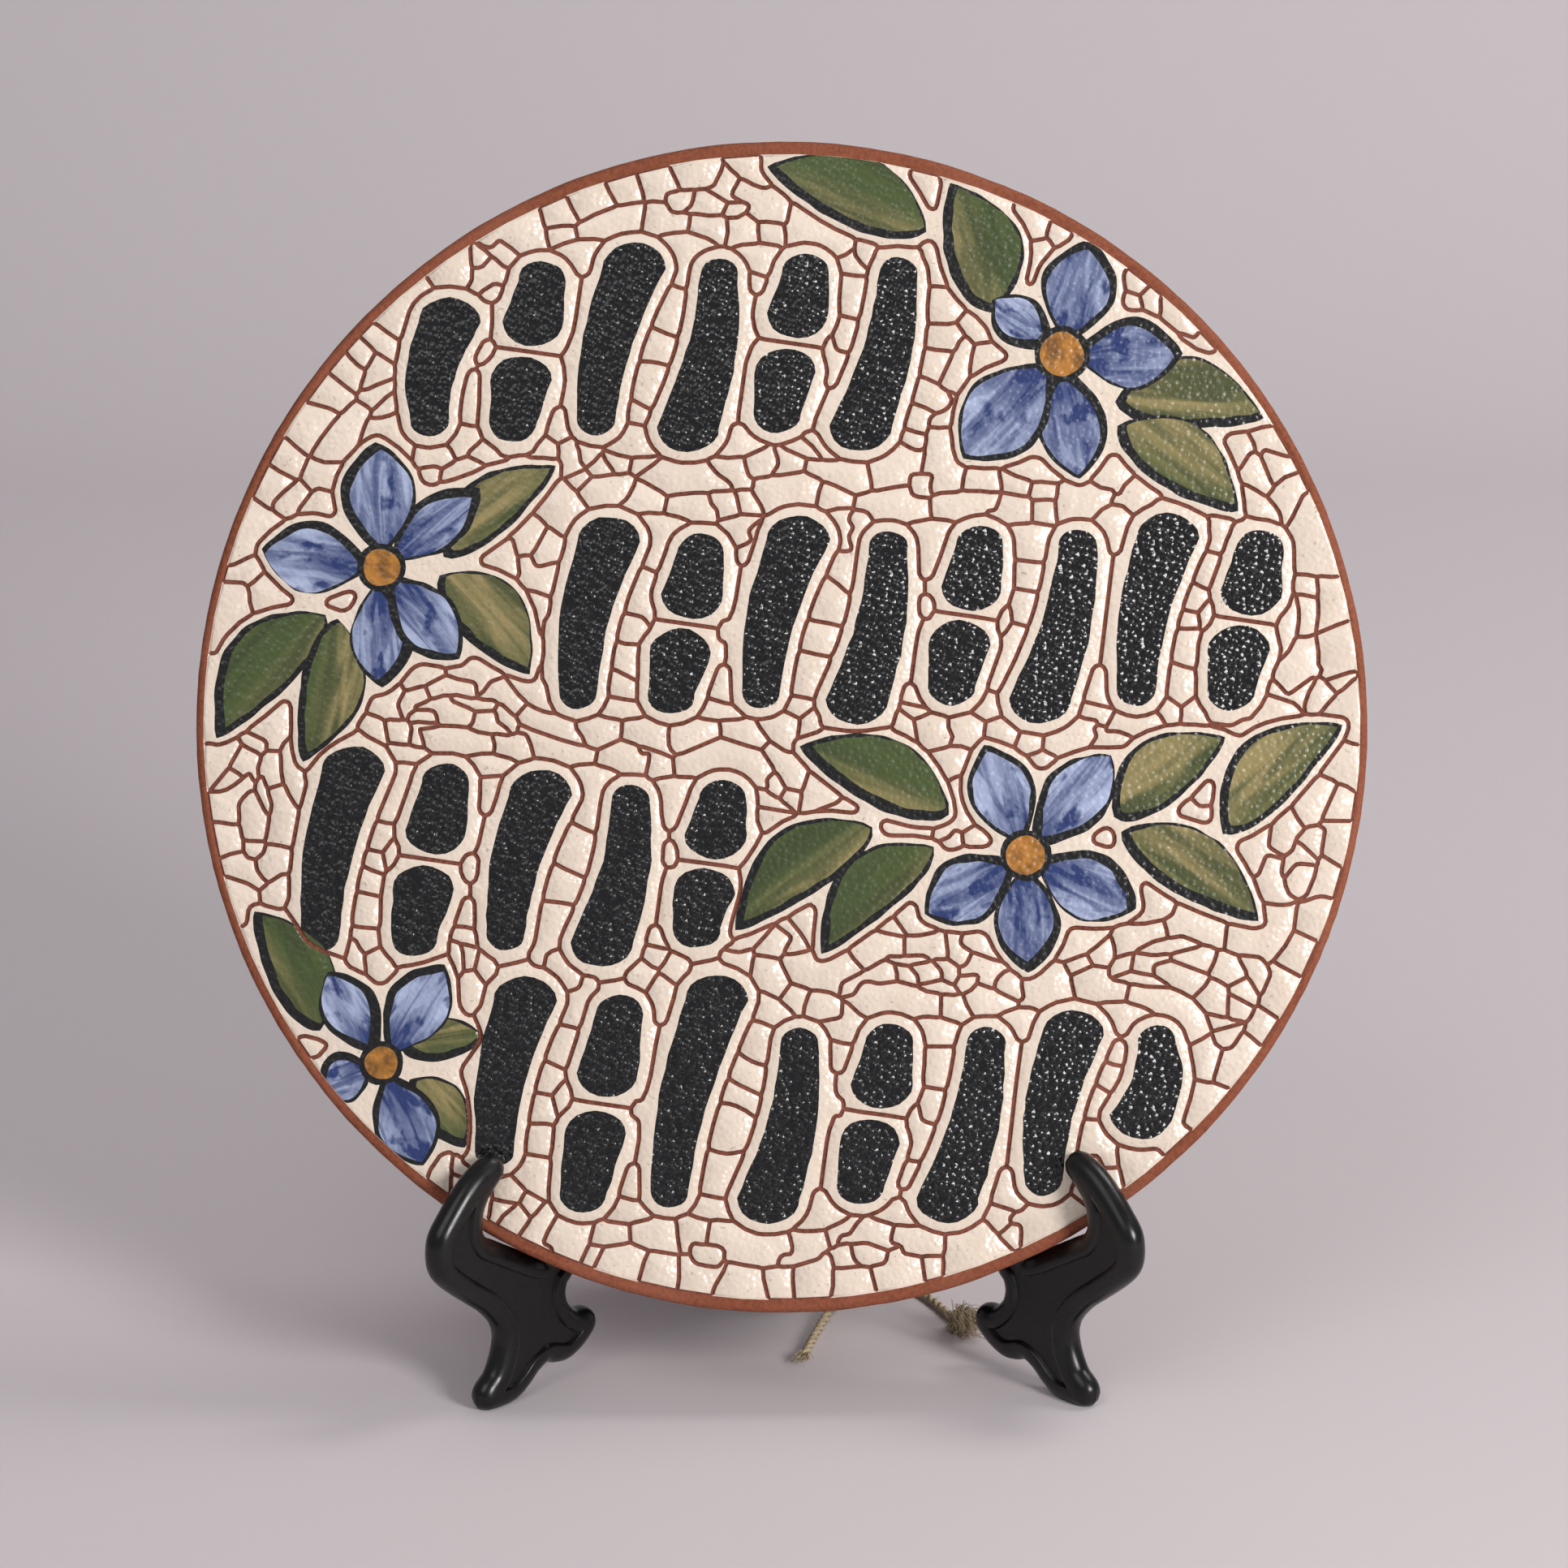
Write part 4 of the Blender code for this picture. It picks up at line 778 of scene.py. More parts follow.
def tip_between(points, start, left_at, end, met_at, distance):
    """Where the two kept sides of a moved loop meet, in place of a blunt corner that has gone."""
    out = points[(left_at + 1) % len(points)] - points[left_at]
    back = points[met_at] - points[met_at - 1]
    spread = out[0] * back[1] - out[1] * back[0]
    if abs(spread) < 1e-6:
        return None
    way = end - start
    reach = (way[0] * back[1] - way[1] * back[0]) / spread
    corner = start + reach * out
    if reach <= 0.0 or math.hypot(*(corner - start)) > LONGEST_TIP:
        return None
    away, _ = outline_distance(points, corner[:1], corner[1:])
    return corner if away[0] > KEPT_CLEARANCE * distance else None


def thinned_loop(points, tolerance):
    """A closed line without the points that lie within a tolerance of the straight way past them."""
    kept = list(range(len(points)))
    k = 0
    while k < len(kept) and len(kept) > 3:
        a = kept[k - 1]
        b = kept[(k + 1) % len(kept)]
        way = points[b] - points[a]
        skipped = np.arange(a + 1, b if b > a else b + len(points)) % len(points)
        rest = points[skipped] - points[a]
        off = np.abs(rest[:, 0] * way[1] - rest[:, 1] * way[0]) / max(math.hypot(*way), 1e-9)
        if off.max() < tolerance and len(skipped) < MOST_SKIPPED:
            del kept[k]
        else:
            k += 1
    return points[kept]


def circle(radius, count):
    turn = np.linspace(0.0, 2.0 * math.pi, count + 1)[:-1]
    return radius * np.stack([np.cos(turn), np.sin(turn)], 1)


def ease(value, low, high):
    """0 below low, 1 above high, and a smooth way between."""
    share = np.clip((value - low) / (high - low), 0.0, 1.0)
    return share * share * (3.0 - 2.0 * share)


class Outlines:
    """Points and edges gathered for one triangulation."""

    def __init__(self):
        self.points = []
        self.edges = []

    def add_loop(self, loop):
        first = len(self.points)
        count = len(loop)
        self.points.extend(Vector((float(p[0]), float(p[1]))) for p in loop)
        self.edges.extend((first + k, first + (k + 1) % count) for k in range(count))

    def triangles(self):
        flat, _, faces, _, _, _ = geometry.delaunay_2d_cdt(self.points, self.edges, [], 0, 1e-5, False)
        return np.array([(p.x, p.y) for p in flat]), np.array(faces)


CLAY, GROOVE, CREAM, BLACK, PETAL, LEAF, MIDDLE, BRUSH = range(8)


def face_mesh(settings):
    """The glazed face: flat places in millimetres, heights, triangles, and what each triangle shows."""
    rng = random.Random(SEED + 1)
    half_groove = 0.5 * settings.groove_width / MM
    depth = settings.groove_depth / MM
    labels = stone_labels(settings.stone_row / MM, settings.stone_length / MM)
    network = Network(labels)
    network.thin(LINE_TOLERANCE)
    drawn = Outlines()
    used = sorted({i for path, _, _ in network.chains for i in path})
    slot = {i: n for n, i in enumerate(used)}
    drawn.points = [Vector(network.points[i]) for i in used]
    for path, _, _ in network.chains:
        drawn.edges.extend((slot[a], slot[b]) for a, b in zip(path, path[1:]))
    for label in sorted(set(labels.ravel().tolist()) - {OUTSIDE}):
        for loop in network.loops(label):
            for share in GROOVE_RINGS:
                ring = inset_loop(network.points[loop], share * half_groove)
                if len(ring) >= 3:
                    drawn.add_loop(thinned_loop(ring, RING_TOLERANCE))

    painted = []
    for outline in mark_outlines():
        edge = wobbled(outline, MARK_WOBBLE, rng)
        drawn.add_loop(edge)
        painted.append((BLACK, edge, None, None))
    brush = settings.brush_width / MM
    for kind, outline, foot, tip, width in painted_figures():
        edge = wobbled(outline, PAINT_WOBBLE, rng)
        band = brush * (MIDDLE_BAND if kind == "middle" else rng.uniform(*BAND_SHARES))
        light_side = np.array((0.0, 0.0) if kind == "middle" else LEAF_LIGHT_SIDE if kind == "leaf" else
                              (rng.uniform(-1.0, 1.0), rng.uniform(-1.0, 1.0)))
        inner = wobbled(inset_loop(outline, band) + LIGHT_SHIFT * band * light_side, MARK_WOBBLE, rng)
        drawn.add_loop(edge)
        painted.append((BRUSH, edge, None, None))
        if len(inner) >= 3:
            drawn.add_loop(inner)
            fill = {"leaf": LEAF, "petal": PETAL, "middle": MIDDLE}[kind]
            painted.append((fill, inner, (foot, tip, width), rng.random()))
    drawn.add_loop(circle(RADIUS - EDGE_ROUND, RIM_POINTS))

    flat, faces = drawn.triangles()
    radius = np.hypot(flat[:, 0], flat[:, 1])
    tree_points = network.groove_points(GROOVE_SPACING)
    tree = kdtree.KDTree(len(tree_points))
    for i, p in enumerate(tree_points):
        tree.insert((p[0], p[1], 0.0), i)
    tree.balance()
    gap = np.array([tree.find((x, y, 0.0))[2] for x, y in flat])
    cut = 1.0 - ease(gap, GROOVE_SIDES[0] * half_groove, GROOVE_SIDES[1] * half_groove)
    deep = depth * (0.9 + 0.18 * waves(flat[:, 0], flat[:, 1], DEPTH_WAVE, rng))
    height = GLAZE_SWELL * waves(flat[:, 0], flat[:, 1], SWELL_WAVE, rng) - deep * cut
    rim = rim_radius(flat[:, 0], flat[:, 1])
    height *= 1.0 - ease(radius, rim - 0.2, RADIUS - EDGE_ROUND)
    height -= RIM_DROP * ease(radius, rim - 0.35, rim + 0.1)

    middle = flat[faces].mean(1)
    x, y = middle[:, 0], middle[:, 1]
    shown = np.full(len(faces), CREAM)
    guide = np.full(flat[faces].shape, 0.5)
    grid = ((middle + 0.5 * GRID_SPAN) / GRID_SPAN * GRID_CELLS).astype(int)
    stone = labels[grid[:, 1], grid[:, 0]]
    tones = np.array([rng.random() for _ in range(int(labels.max()) + 1)] + [0.5])
    tone = np.where(stone >= 0, tones[stone], 0.45)
    for kind, outline, blade, luck in painted:
        here = inside_outline(outline, x, y)
        shown[here] = kind
        if blade is not None:
            foot, tip, width = blade
            along = (tip - foot) / np.linalg.norm(tip - foot)
            across = np.array((-along[1], along[0]))
            away = flat[faces[here]] - foot
            guide[here, :, 0] = (away @ along) / np.linalg.norm(tip - foot)
            guide[here, :, 1] = 0.5 + (away @ across) / width
            tone[here] = luck
    near = gap[faces].mean(1)
    shown[near < GROOVE_SHOWN * half_groove] = GROOVE
    shown[np.hypot(x, y) > rim_radius(x, y) - 0.02] = CLAY
    return np.column_stack([flat, height]), faces, shown, guide, tone


def plaque_shell():
    """The edge and back of the plaque, from the face's outermost circle, as rings of points."""
    turns = [0.5 * math.pi * k / EDGE_STEPS for k in range(1, EDGE_STEPS + 1)]
    rings = [(RADIUS - EDGE_ROUND * (1.0 - math.sin(turn)), -RIM_DROP - (EDGE_ROUND - RIM_DROP)
              * (1.0 - math.cos(turn))) for turn in turns]
    for k in range(1, SIDE_STEPS + 1):
        rings.append((RADIUS, -EDGE_ROUND - (THICKNESS - 2.0 * EDGE_ROUND) * k / SIDE_STEPS))
    rings += [(RADIUS - EDGE_ROUND * (1.0 - math.cos(turn)), EDGE_ROUND * (1.0 - math.sin(turn)) - THICKNESS)
              for turn in turns]
    for k in range(1, BACK_RINGS):
        rings.append(((RADIUS - EDGE_ROUND) * (1.0 - k / BACK_RINGS), -THICKNESS))
    return rings


def plaque_matrix():
    """From the plaque's own place, +Z out of its face, to the row's frame."""
    centre = Vector((0.0, CENTRING, PLAQUE_BOTTOM + RADIUS * math.cos(LEAN))) * MM
    turn = Matrix.Rotation(math.radians(90.0) - LEAN, 4, 'X')
    return Matrix.Translation(centre) @ turn @ Matrix.Scale(MM, 4)


def make_plaque_mesh(settings):
    points, faces, shown, guide, tone = face_mesh(settings)
    rng = random.Random(SEED + 2)
    border = np.nonzero(np.hypot(points[:, 0], points[:, 1]) > RADIUS - EDGE_ROUND - 1e-3)[0]
    order = border[np.argsort(np.mod(np.arctan2(points[border, 1], points[border, 0]) + 1e-4, 2.0 * math.pi))]
    verts = [tuple(p) for p in points]
    quads = []
    last = order.tolist()
    for radius, level in plaque_shell():
        ring = circle(radius, RIM_POINTS)
        rough = EDGE_GRAIN * waves(ring[:, 0] + 40.0 * level, ring[:, 1], GRAIN_WAVE, rng) \
            + EDGE_UNEVENNESS * waves(ring[:, 0] + 9.0 * level, ring[:, 1], EDGE_WAVE, rng)
        first = len(verts)
        for (px, py), bump in zip(ring, rough):
            if level > -THICKNESS + 1e-6:
                size = min(1.0 + (bump - EDGE_SINK) / RADIUS, 1.0)
                verts.append((px * size, py * size, level))
            else:
                verts.append((px, py, level + min(abs(bump) * 1.6, BACK_ROUGHNESS)))
        quads.extend((last[k], first + k, first + (k + 1) % RIM_POINTS, last[(k + 1) % RIM_POINTS])
                     for k in range(RIM_POINTS))
        last = list(range(first, first + RIM_POINTS))
    verts.append((0.0, 0.0, -THICKNESS))
    fans = [(last[k], len(verts) - 1, last[(k + 1) % RIM_POINTS]) for k in range(RIM_POINTS)]

    mesh = bpy.data.meshes.new("mosaic_plaque")
    mesh.from_pydata(verts, [], [tuple(f) for f in faces.tolist()] + quads + fans)
    extra = len(quads) + len(fans)
    kinds = np.concatenate([shown, np.full(extra, CLAY)]).astype(np.int32)
    mesh.polygons.foreach_set("material_index", kinds)
    smooth_faces(mesh)
    places = np.concatenate([guide.reshape(-1, 2), np.full((4 * len(quads) + 3 * len(fans), 2), 0.5)])
    mesh.uv_layers.new(name="blade").data.foreach_set("uv", places.ravel().astype(np.float32))
    shade = mesh.attributes.new("tone", 'FLOAT', 'FACE')
    shade.data.foreach_set("value", np.concatenate([tone, np.full(extra, 0.5)]).astype(np.float32))
    mesh.transform(plaque_matrix())
    mesh.update()
    mesh.validate()
    return mesh


# Legs, in a leg's own plane: the way back from the toe, and the height


def seat_height(s, clearance):
    """Height of the line that is a clearance below the plaque's rim."""
    x = FOOT_SPREAD - s * math.sin(LEG_SPLAY)
    y = s * math.cos(LEG_SPLAY) - FOOT_FORWARD
    below = -math.sqrt(max((RADIUS + clearance) ** 2 - x ** 2, 0.0))
    return PLAQUE_BOTTOM + RADIUS * math.cos(LEAN) + (below - y * math.sin(LEAN)) / math.cos(LEAN)


def behind_face(s, z):
    """How far a point of a leg's plane lies behind the plaque's face."""
    y = s * math.cos(LEG_SPLAY) - FOOT_FORWARD
    return y * math.cos(LEAN) - (z - PLAQUE_BOTTOM - RADIUS * math.cos(LEAN)) * math.sin(LEAN)


def rest_line(z, clearance):
    """The way back, at a height, to the line that is a clearance behind the plaque's back."""
    rise = z - PLAQUE_BOTTOM - RADIUS * math.cos(LEAN)
    y = (THICKNESS + clearance) / math.cos(LEAN) + rise * math.tan(LEAN)
    return (y + FOOT_FORWARD) / math.cos(LEG_SPLAY)


def where(test, low, high):
    """The place between low and high where a rising test passes zero."""
    for _ in range(40):
        middle = 0.5 * (low + high)
        if test(middle) < 0.0:
            low = middle
        else:
            high = middle
    return 0.5 * (low + high)


def crossing():
    """The way back from the toe to where the two legs cross."""
    return FOOT_SPREAD / math.sin(LEG_SPLAY)


def smooth_line(points, per_span, closed):
    """A smooth line through points, with some more between each pair."""
    p = np.array(points, float)
    if not closed:
        p = np.concatenate([[2.0 * p[0] - p[1]], p, [2.0 * p[-1] - p[-2]]])
    count = len(p) if closed else len(p) - 3
    out = []
    for i in range(count):
        a, b, c, d = (p[(i + k - (1 if closed else 0)) % len(p)] for k in range(4))
        for t in np.arange(per_span) / per_span:
            out.append(0.5 * (2 * b + (c - a) * t + (2 * a - 5 * b + 4 * c - d) * t ** 2
                              + (3 * b - a - 3 * c + d) * t ** 3))
    if not closed:
        out.append(p[-2])
    return np.array(out)


def leg_core(per_span):
    """The line half a thickness inside a leg's outline."""
    half = 0.5 * LEG_THICKNESS
    clearance = half + SEAT_GAP
    front = where(lambda s: behind_face(s, seat_height(s, 0.0)), -20.0, 20.0)
    seat = seat_height(front, 0.0)
    foot = half - FOOT_FLAT_CUT
    cross = crossing()
    tail = cross + TAIL_LENGTH
    heel = cross - REAR_FOOT_LENGTH
    line = [(front + s * HOOK_RISE, seat + z * HOOK_RISE) for s, z in HOOK_FRONT]
    line += [(s, z * seat) for s, z in WAIST_AND_TOE]
    line += [(0.8, foot), (TOE_END, foot)]
    line += [(s, z * seat) for s, z in CROTCH_AND_SCROLL]
    arch_foot = line[-1]
    middle = 0.5 * (arch_foot[0] + heel)
    reach = 0.5 * (heel - arch_foot[0])
    for degrees in (150, 120, 90, 60, 32):
        turn = math.radians(degrees)
        base = arch_foot[1] if degrees > 90 else 0.5 * arch_foot[1]
        line.append((middle + reach * math.cos(turn), base + (ARCH_HEIGHT - base) * math.sin(turn)))
    line += [(heel, 0.35 * arch_foot[1]), (heel, foot + 1.8), (heel + 1.2, foot)]
    line += [(0.5 * (heel + tail), foot), (tail - 1.5, foot), (tail, foot + 3.0)]
    line += [(tail - 0.6, 0.30 * SPINE_HEIGHT), (tail - 0.6, 0.75 * SPINE_HEIGHT)]
    line += [(tail - 1.2, SPINE_HEIGHT - 5.0), (tail - 5.0, SPINE_HEIGHT)]
    rest_top = rest_line(BACKREST_HEIGHT, clearance)
    line += [(cross - 6.0, SPINE_HEIGHT - 3.0), (0.5 * (rest_top + cross), BACKREST_HEIGHT - 12.0)]
    line += [(rest_top + 9.0, BACKREST_HEIGHT - 3.5), (rest_top + 4.0, BACKREST_HEIGHT)]
    corner = where(lambda s: behind_face(s, seat_height(s, clearance)) - THICKNESS - clearance,
                   front, front + 40.0)
    corner_height = seat_height(corner, clearance)
    line += [(rest_line(z, clearance), z) for z in np.linspace(BACKREST_HEIGHT - 4.0, corner_height + 4.5, 7)]
    line += [(corner + 0.2, corner_height + 0.8)]
    line += [(s, seat_height(s, clearance)) for s in np.linspace(corner - 3.5, front - 3.5, 5)]
    line += [(front + s * HOOK_RISE, seat + z * HOOK_RISE) for s, z in HOOK_BACK]
    return smooth_line(line, per_span, True)


def centring():
    """How far the whole moves along Y so that its box is centred on the origin."""
    core = leg_core(4)
    frontmost = core[:, 0].min() * math.cos(LEG_SPLAY) - FOOT_FORWARD - 0.5 * LEG_THICKNESS
    rearmost = core[:, 0].max() * math.cos(LEG_SPLAY) - FOOT_FORWARD + 0.5 * LEG_THICKNESS
    top = RADIUS * math.sin(LEAN) + THICKNESS * math.cos(LEAN)
    return -0.5 * (frontmost + max(rearmost, top))


CENTRING = centring()


def leg_matrix(side):
    """From a leg's plane to the row's frame, with +Z across the leg."""
    toe = Vector((side * FOOT_SPREAD, CENTRING - FOOT_FORWARD, 0.0)) * MM
    heading = Matrix.Rotation(math.radians(90.0) + side * LEG_SPLAY, 4, 'Z')
    return Matrix.Translation(toe) @ heading @ Matrix.Rotation(math.radians(90.0), 4, 'X') \
        @ Matrix.Scale(MM, 4)


def leg_mesh(name, settings):
    """A moulded leg: a round bead round its outline, and a flat field a little below the bead."""
    half = 0.5 * LEG_THICKNESS
    bead = settings.bead / MM
    field = settings.field_depth / MM
    core = leg_core(8)
    area = float(np.sum(core[:, 0] * np.roll(core[:, 1], -1) - np.roll(core[:, 0], -1) * core[:, 1]))
    inward = core if area > 0.0 else core[::-1]
    drawn = Outlines()
    rings = [inset_loop(inward[::-1], share * half) for share in BEAD_RINGS]
    for ring in rings:
        drawn.add_loop(ring)
    drawn.add_loop(inward)
    for inset in (0.5 * bead, bead, *(bead + beyond for beyond in FIELD_RINGS)):
        ring = inset_loop(inward, inset)
        if len(ring) >= 3:
            drawn.add_loop(ring)
    flat, faces = drawn.triangles()
    middle = flat[faces].mean(1)
    faces = faces[inside_outline(rings[0], middle[:, 0], middle[:, 1])]
    used = np.unique(faces)
    table = np.full(len(flat), -1)
    table[used] = np.arange(len(used))
    flat = flat[used]
    faces = table[faces]
    away, _ = outline_distance(inward, flat[:, 0], flat[:, 1])
    inside = inside_outline(inward, flat[:, 0], flat[:, 1])
    rise = np.where(inside, half - field * ease(away, bead, bead + FIELD_SLOPE),
                    np.sqrt(np.maximum(half ** 2 - away ** 2, 0.0)))
    on_edge = ~inside & (away > 0.9975 * half)
    rise[on_edge] = 0.0
    low = np.maximum(flat[:, 1], 0.0)
    count = len(flat)
    verts = [(s, z, r) for s, z, r in zip(flat[:, 0], low, rise)]
    under = np.arange(count)
    for i in np.nonzero(~on_edge)[0]:
        under[i] = len(verts)
        verts.append((flat[i, 0], low[i], -rise[i]))
    tops = [tuple(f) for f in faces.tolist()]
    backs = [tuple(under[list(f)][::-1].tolist()) for f in tops]
    shape = shape_of(verts, tops + backs)
    bmesh.ops.remove_doubles(shape, verts=shape.verts, dist=1e-5)
    bmesh.ops.dissolve_degenerate(shape, edges=shape.edges, dist=1e-5)
    bmesh.ops.recalc_face_normals(shape, faces=shape.faces)
    return mesh_of(name, shape)


def mesh_of(name, shape):
    """A new mesh with an edited shape, which is then cleared."""
    mesh = bpy.data.meshes.new(name)
    shape.to_mesh(mesh)
    shape.free()
    return mesh


def shape_of(verts, faces):
    """A shape for editing, from lists of points and faces."""
    mesh = bpy.data.meshes.new("draft")
    mesh.from_pydata(verts, [], faces)
    shape = bmesh.new()
    shape.from_mesh(mesh)
    bpy.data.meshes.remove(mesh)
    return shape


def box_mesh(name, low, high):
    """A box between two corners."""
    shape = bmesh.new()
    bmesh.ops.create_cube(shape, size=1.0)
    for v in shape.verts:
        v.co = Vector(low[k] + (high[k] - low[k]) * (v.co[k] + 0.5) for k in range(3))
    return mesh_of(name, shape)


def disc_mesh(name, radius, low, high, segments):
    """An upright cylinder between two heights."""
    shape = bmesh.new()
    bmesh.ops.create_cone(shape, cap_ends=True, segments=segments, radius1=radius, radius2=radius,
                          depth=high - low)
    bmesh.ops.translate(shape, verts=shape.verts, vec=(0.0, 0.0, 0.5 * (low + high)))
    return mesh_of(name, shape)


def cut_away(piece, tools):
    """Carve each tool mesh out of a piece for good, and clear the tools."""
    helpers = []
    for tool in tools:
        helper = place(tool.name, tool)
        helpers.append(helper)
        step = piece.modifiers.new(tool.name, 'BOOLEAN')
        step.operation = 'DIFFERENCE'
        step.solver = 'EXACT'
        step.object = helper
    keep_shape(piece)
    for helper in helpers:
        mesh = helper.data
        bpy.data.objects.remove(helper, do_unlink=True)
        bpy.data.meshes.remove(mesh)


def keep_shape(piece):
    """Turn a piece's modifiers into its own mesh."""
    done = piece.evaluated_get(bpy.context.evaluated_depsgraph_get())
    mesh = bpy.data.meshes.new_from_object(done)
    old = piece.data
    piece.modifiers.clear()
    piece.data = mesh
    mesh.name = piece.name
    if isinstance(old, bpy.types.Mesh):
        bpy.data.meshes.remove(old)


def smooth_faces(mesh):
    mesh.polygons.foreach_set("use_smooth", np.ones(len(mesh.polygons), bool))


def soft_shading(mesh, degrees):
    """Smooth faces, apart from the edges that turn more than an angle."""
    smooth_faces(mesh)
    mesh.set_sharp_from_angle(angle=math.radians(degrees))


def place(name, data, *finishes):
    """A new object at the origin: a mesh with its finishes, a curve, a light or a camera."""
    piece = bpy.data.objects.new(name, data)
    bpy.context.scene.collection.objects.link(piece)
    for finish in finishes:
        data.materials.append(finish)
    return piece


# Twine


def twine_route():
    """The twine from its left frayed end, up and through the lug, and down to its right frayed end."""
    top = PLAQUE_BOTTOM + RADIUS * math.cos(LEAN)
    out = THICKNESS + BORE_ABOVE_BACK
    bore_y = LUG_ABOVE_CENTRE * math.sin(LEAN) + out * math.cos(LEAN)
    bore_z = top + LUG_ABOVE_CENTRE * math.cos(LEAN) - out * math.sin(LEAN)
    lay = 0.5 * TWINE_DIAMETER + FLOOR_GAP
    left = [(3.4, -4.6, lay), (5.0, 3.0, lay), (6.8, 11.0, lay), (8.8, 17.5, lay + 0.5),
            (11.8, 22.5, 3.0), (14.0, 27.5, 9.0), (14.2, 31.8, 22.0),
            (13.6, 33.6, 50.0), (13.2, 34.0, 80.0), (11.8, 34.5, 110.0),
            (7.2, 35.0, 135.0), (-2.0, 35.2, bore_z - 16.0), (-9.2, 33.0, bore_z - 7.0)]
    through = [(-11.2, bore_y + 0.6, bore_z - 0.8), (-6.8, bore_y, bore_z), (0.0, bore_y, bore_z),
               (6.8, bore_y, bore_z), (11.2, bore_y + 0.4, bore_z - 3.0)]
    right = [(14.0, 30.4, bore_z - 12.0), (15.8, 31.6, 145.0), (17.2, 32.2, 110.0),
             (17.8, 32.4, 70.0), (18.4, 32.2, 35.0), (19.4, 31.2, 13.0),
             (21.4, 28.8, 3.5), (24.2, 25.0, lay + 0.3), (27.2, 19.0, lay),
             (29.6, 13.0, lay), (31.2, 8.5, lay)]
    line = [(x, y + CENTRING, z) for x, y, z in left + through + right]
    return smooth_line(line, 12, False)


def even_steps(line, spacing):
    """An open line again, with points an even spacing apart."""
    steps = np.linalg.norm(np.diff(line, axis=0), axis=1)
    along = np.concatenate([[0.0], np.cumsum(steps)])
    places = np.linspace(0.0, along[-1], max(2, int(along[-1] / spacing)))
    return np.stack([np.interp(places, along, line[:, k]) for k in range(3)], 1), places


def carried_frames(line):
    """Two directions across a line at each point, carried along it without twisting."""
    ways = np.gradient(line, axis=0)
    ways /= np.linalg.norm(ways, axis=1)[:, None]
    side = np.cross(ways[0], (0.0, 0.0, 1.0))
    if np.linalg.norm(side) < 0.1:
        side = np.cross(ways[0], (1.0, 0.0, 0.0))
    sides = []
    for way in ways:
        side = side - way * (side @ way)
        side = side / np.linalg.norm(side)
        sides.append(side)
    sides = np.array(sides)
    return sides, np.cross(ways, sides)


def tube(verts, faces, line, radii, sides):
    """Add a closed tube along a line to lists of points and faces."""
    across, up = carried_frames(line)
    first = len(verts)
    turn = 2.0 * math.pi * np.arange(sides) / sides
    for p, a, b, r in zip(line, across, up, radii):
        verts.extend(map(tuple, p + r * (np.cos(turn)[:, None] * a + np.sin(turn)[:, None] * b)))
    for i in range(len(line) - 1):
        for k in range(sides):
            here = first + i * sides + k
            beside = first + i * sides + (k + 1) % sides
            faces.append((here, beside, beside + sides, here + sides))
    faces.append(tuple(range(first, first + sides))[::-1])
    faces.append(tuple(range(len(verts) - sides, len(verts))))


def finished_mesh(name, verts, faces):
    """A smooth mesh from points in millimetres."""
    shape = shape_of([tuple(MM * c for c in v) for v in verts], faces)
    bmesh.ops.recalc_face_normals(shape, faces=shape.faces)
    mesh = mesh_of(name, shape)
    smooth_faces(mesh)
    return mesh


def twisted_plies(line, settings):
    """Two plies laid round each other along the twine's line."""
    spaced, along = even_steps(line, PLY_SPACING)
    across, up = carried_frames(spaced)
    ply = 0.27 * settings.diameter / MM
    verts, faces = [], []
    rng = random.Random(SEED + 5)
    for half_turn in (0.0, math.pi):
        turn = half_turn + 2.0 * math.pi * along / (settings.twist / MM)
        centre = spaced + 0.88 * ply * (np.cos(turn)[:, None] * across + np.sin(turn)[:, None] * up)
        thickness = ply * (1.0 + 0.10 * waves(along, 0.0 * along, PLY_WAVE, rng))
        tube(verts, faces, centre, thickness, PLY_SIDES)
    return verts, faces


def frayed_end(line, rng, spread, length, count, lift, frizz):
    """Loose curly fibres that fan out from the start of a line, on the floor and above it."""
    start = line[0]
    out = line[0] - line[8]
    out[2] = 0.0
    out /= np.linalg.norm(out)
    side = np.array((-out[1], out[0], 0.0))
    up = np.array((0.0, 0.0, 1.0))
    fibres = []
    for _ in range(count):
        lean = rng.uniform(-1.0, 1.0)
        reach = length * rng.uniform(0.40, 1.0)
        rise = lift * rng.uniform(0.0, 1.0)
        base = start + 0.5 * side * rng.uniform(-1.0, 1.0) + out * rng.uniform(-1.5 - 0.25 * lift, 0.3)
        curls = [(rng.uniform(3.0, 9.0), rng.uniform(0.0, 6.28), rng.uniform(0.3, 1.0)) for _ in range(3)]
        points = []
        for t in np.linspace(0.0, 1.0, FIBRE_POINTS):
            place = base + out * reach * t + side * spread * lean * t ** 0.8
            place = place + up * rise * math.sin(0.75 * math.pi * t)
            for way, (pace, phase, share) in zip((out, side, up), curls):
                place = place + way * frizz * share * (math.sin(pace * t + phase) - math.sin(phase))
            place[2] = max(LOWEST_FIBRE, place[2])
            points.append(place)
        fibres.append(np.array(points))
    return fibres


# Finishes


def put(tree, kind, inputs=(), **settings):
    """A node with its settings, and its inputs given by name or number as values or sockets."""
    made = tree.nodes.new(kind)
    for name, value in settings.items():
        setattr(made, name, value)
    for key, value in dict(inputs).items():
        if isinstance(value, bpy.types.NodeSocket):
            tree.links.new(value, made.inputs[key])
        else:
            made.inputs[key].default_value = value
    return made


def add(tree, kind, inputs=(), **settings):
    return put(tree, "ShaderNode" + kind, inputs, **settings)


def darker(base, share):
    return tuple(share * c for c in base)


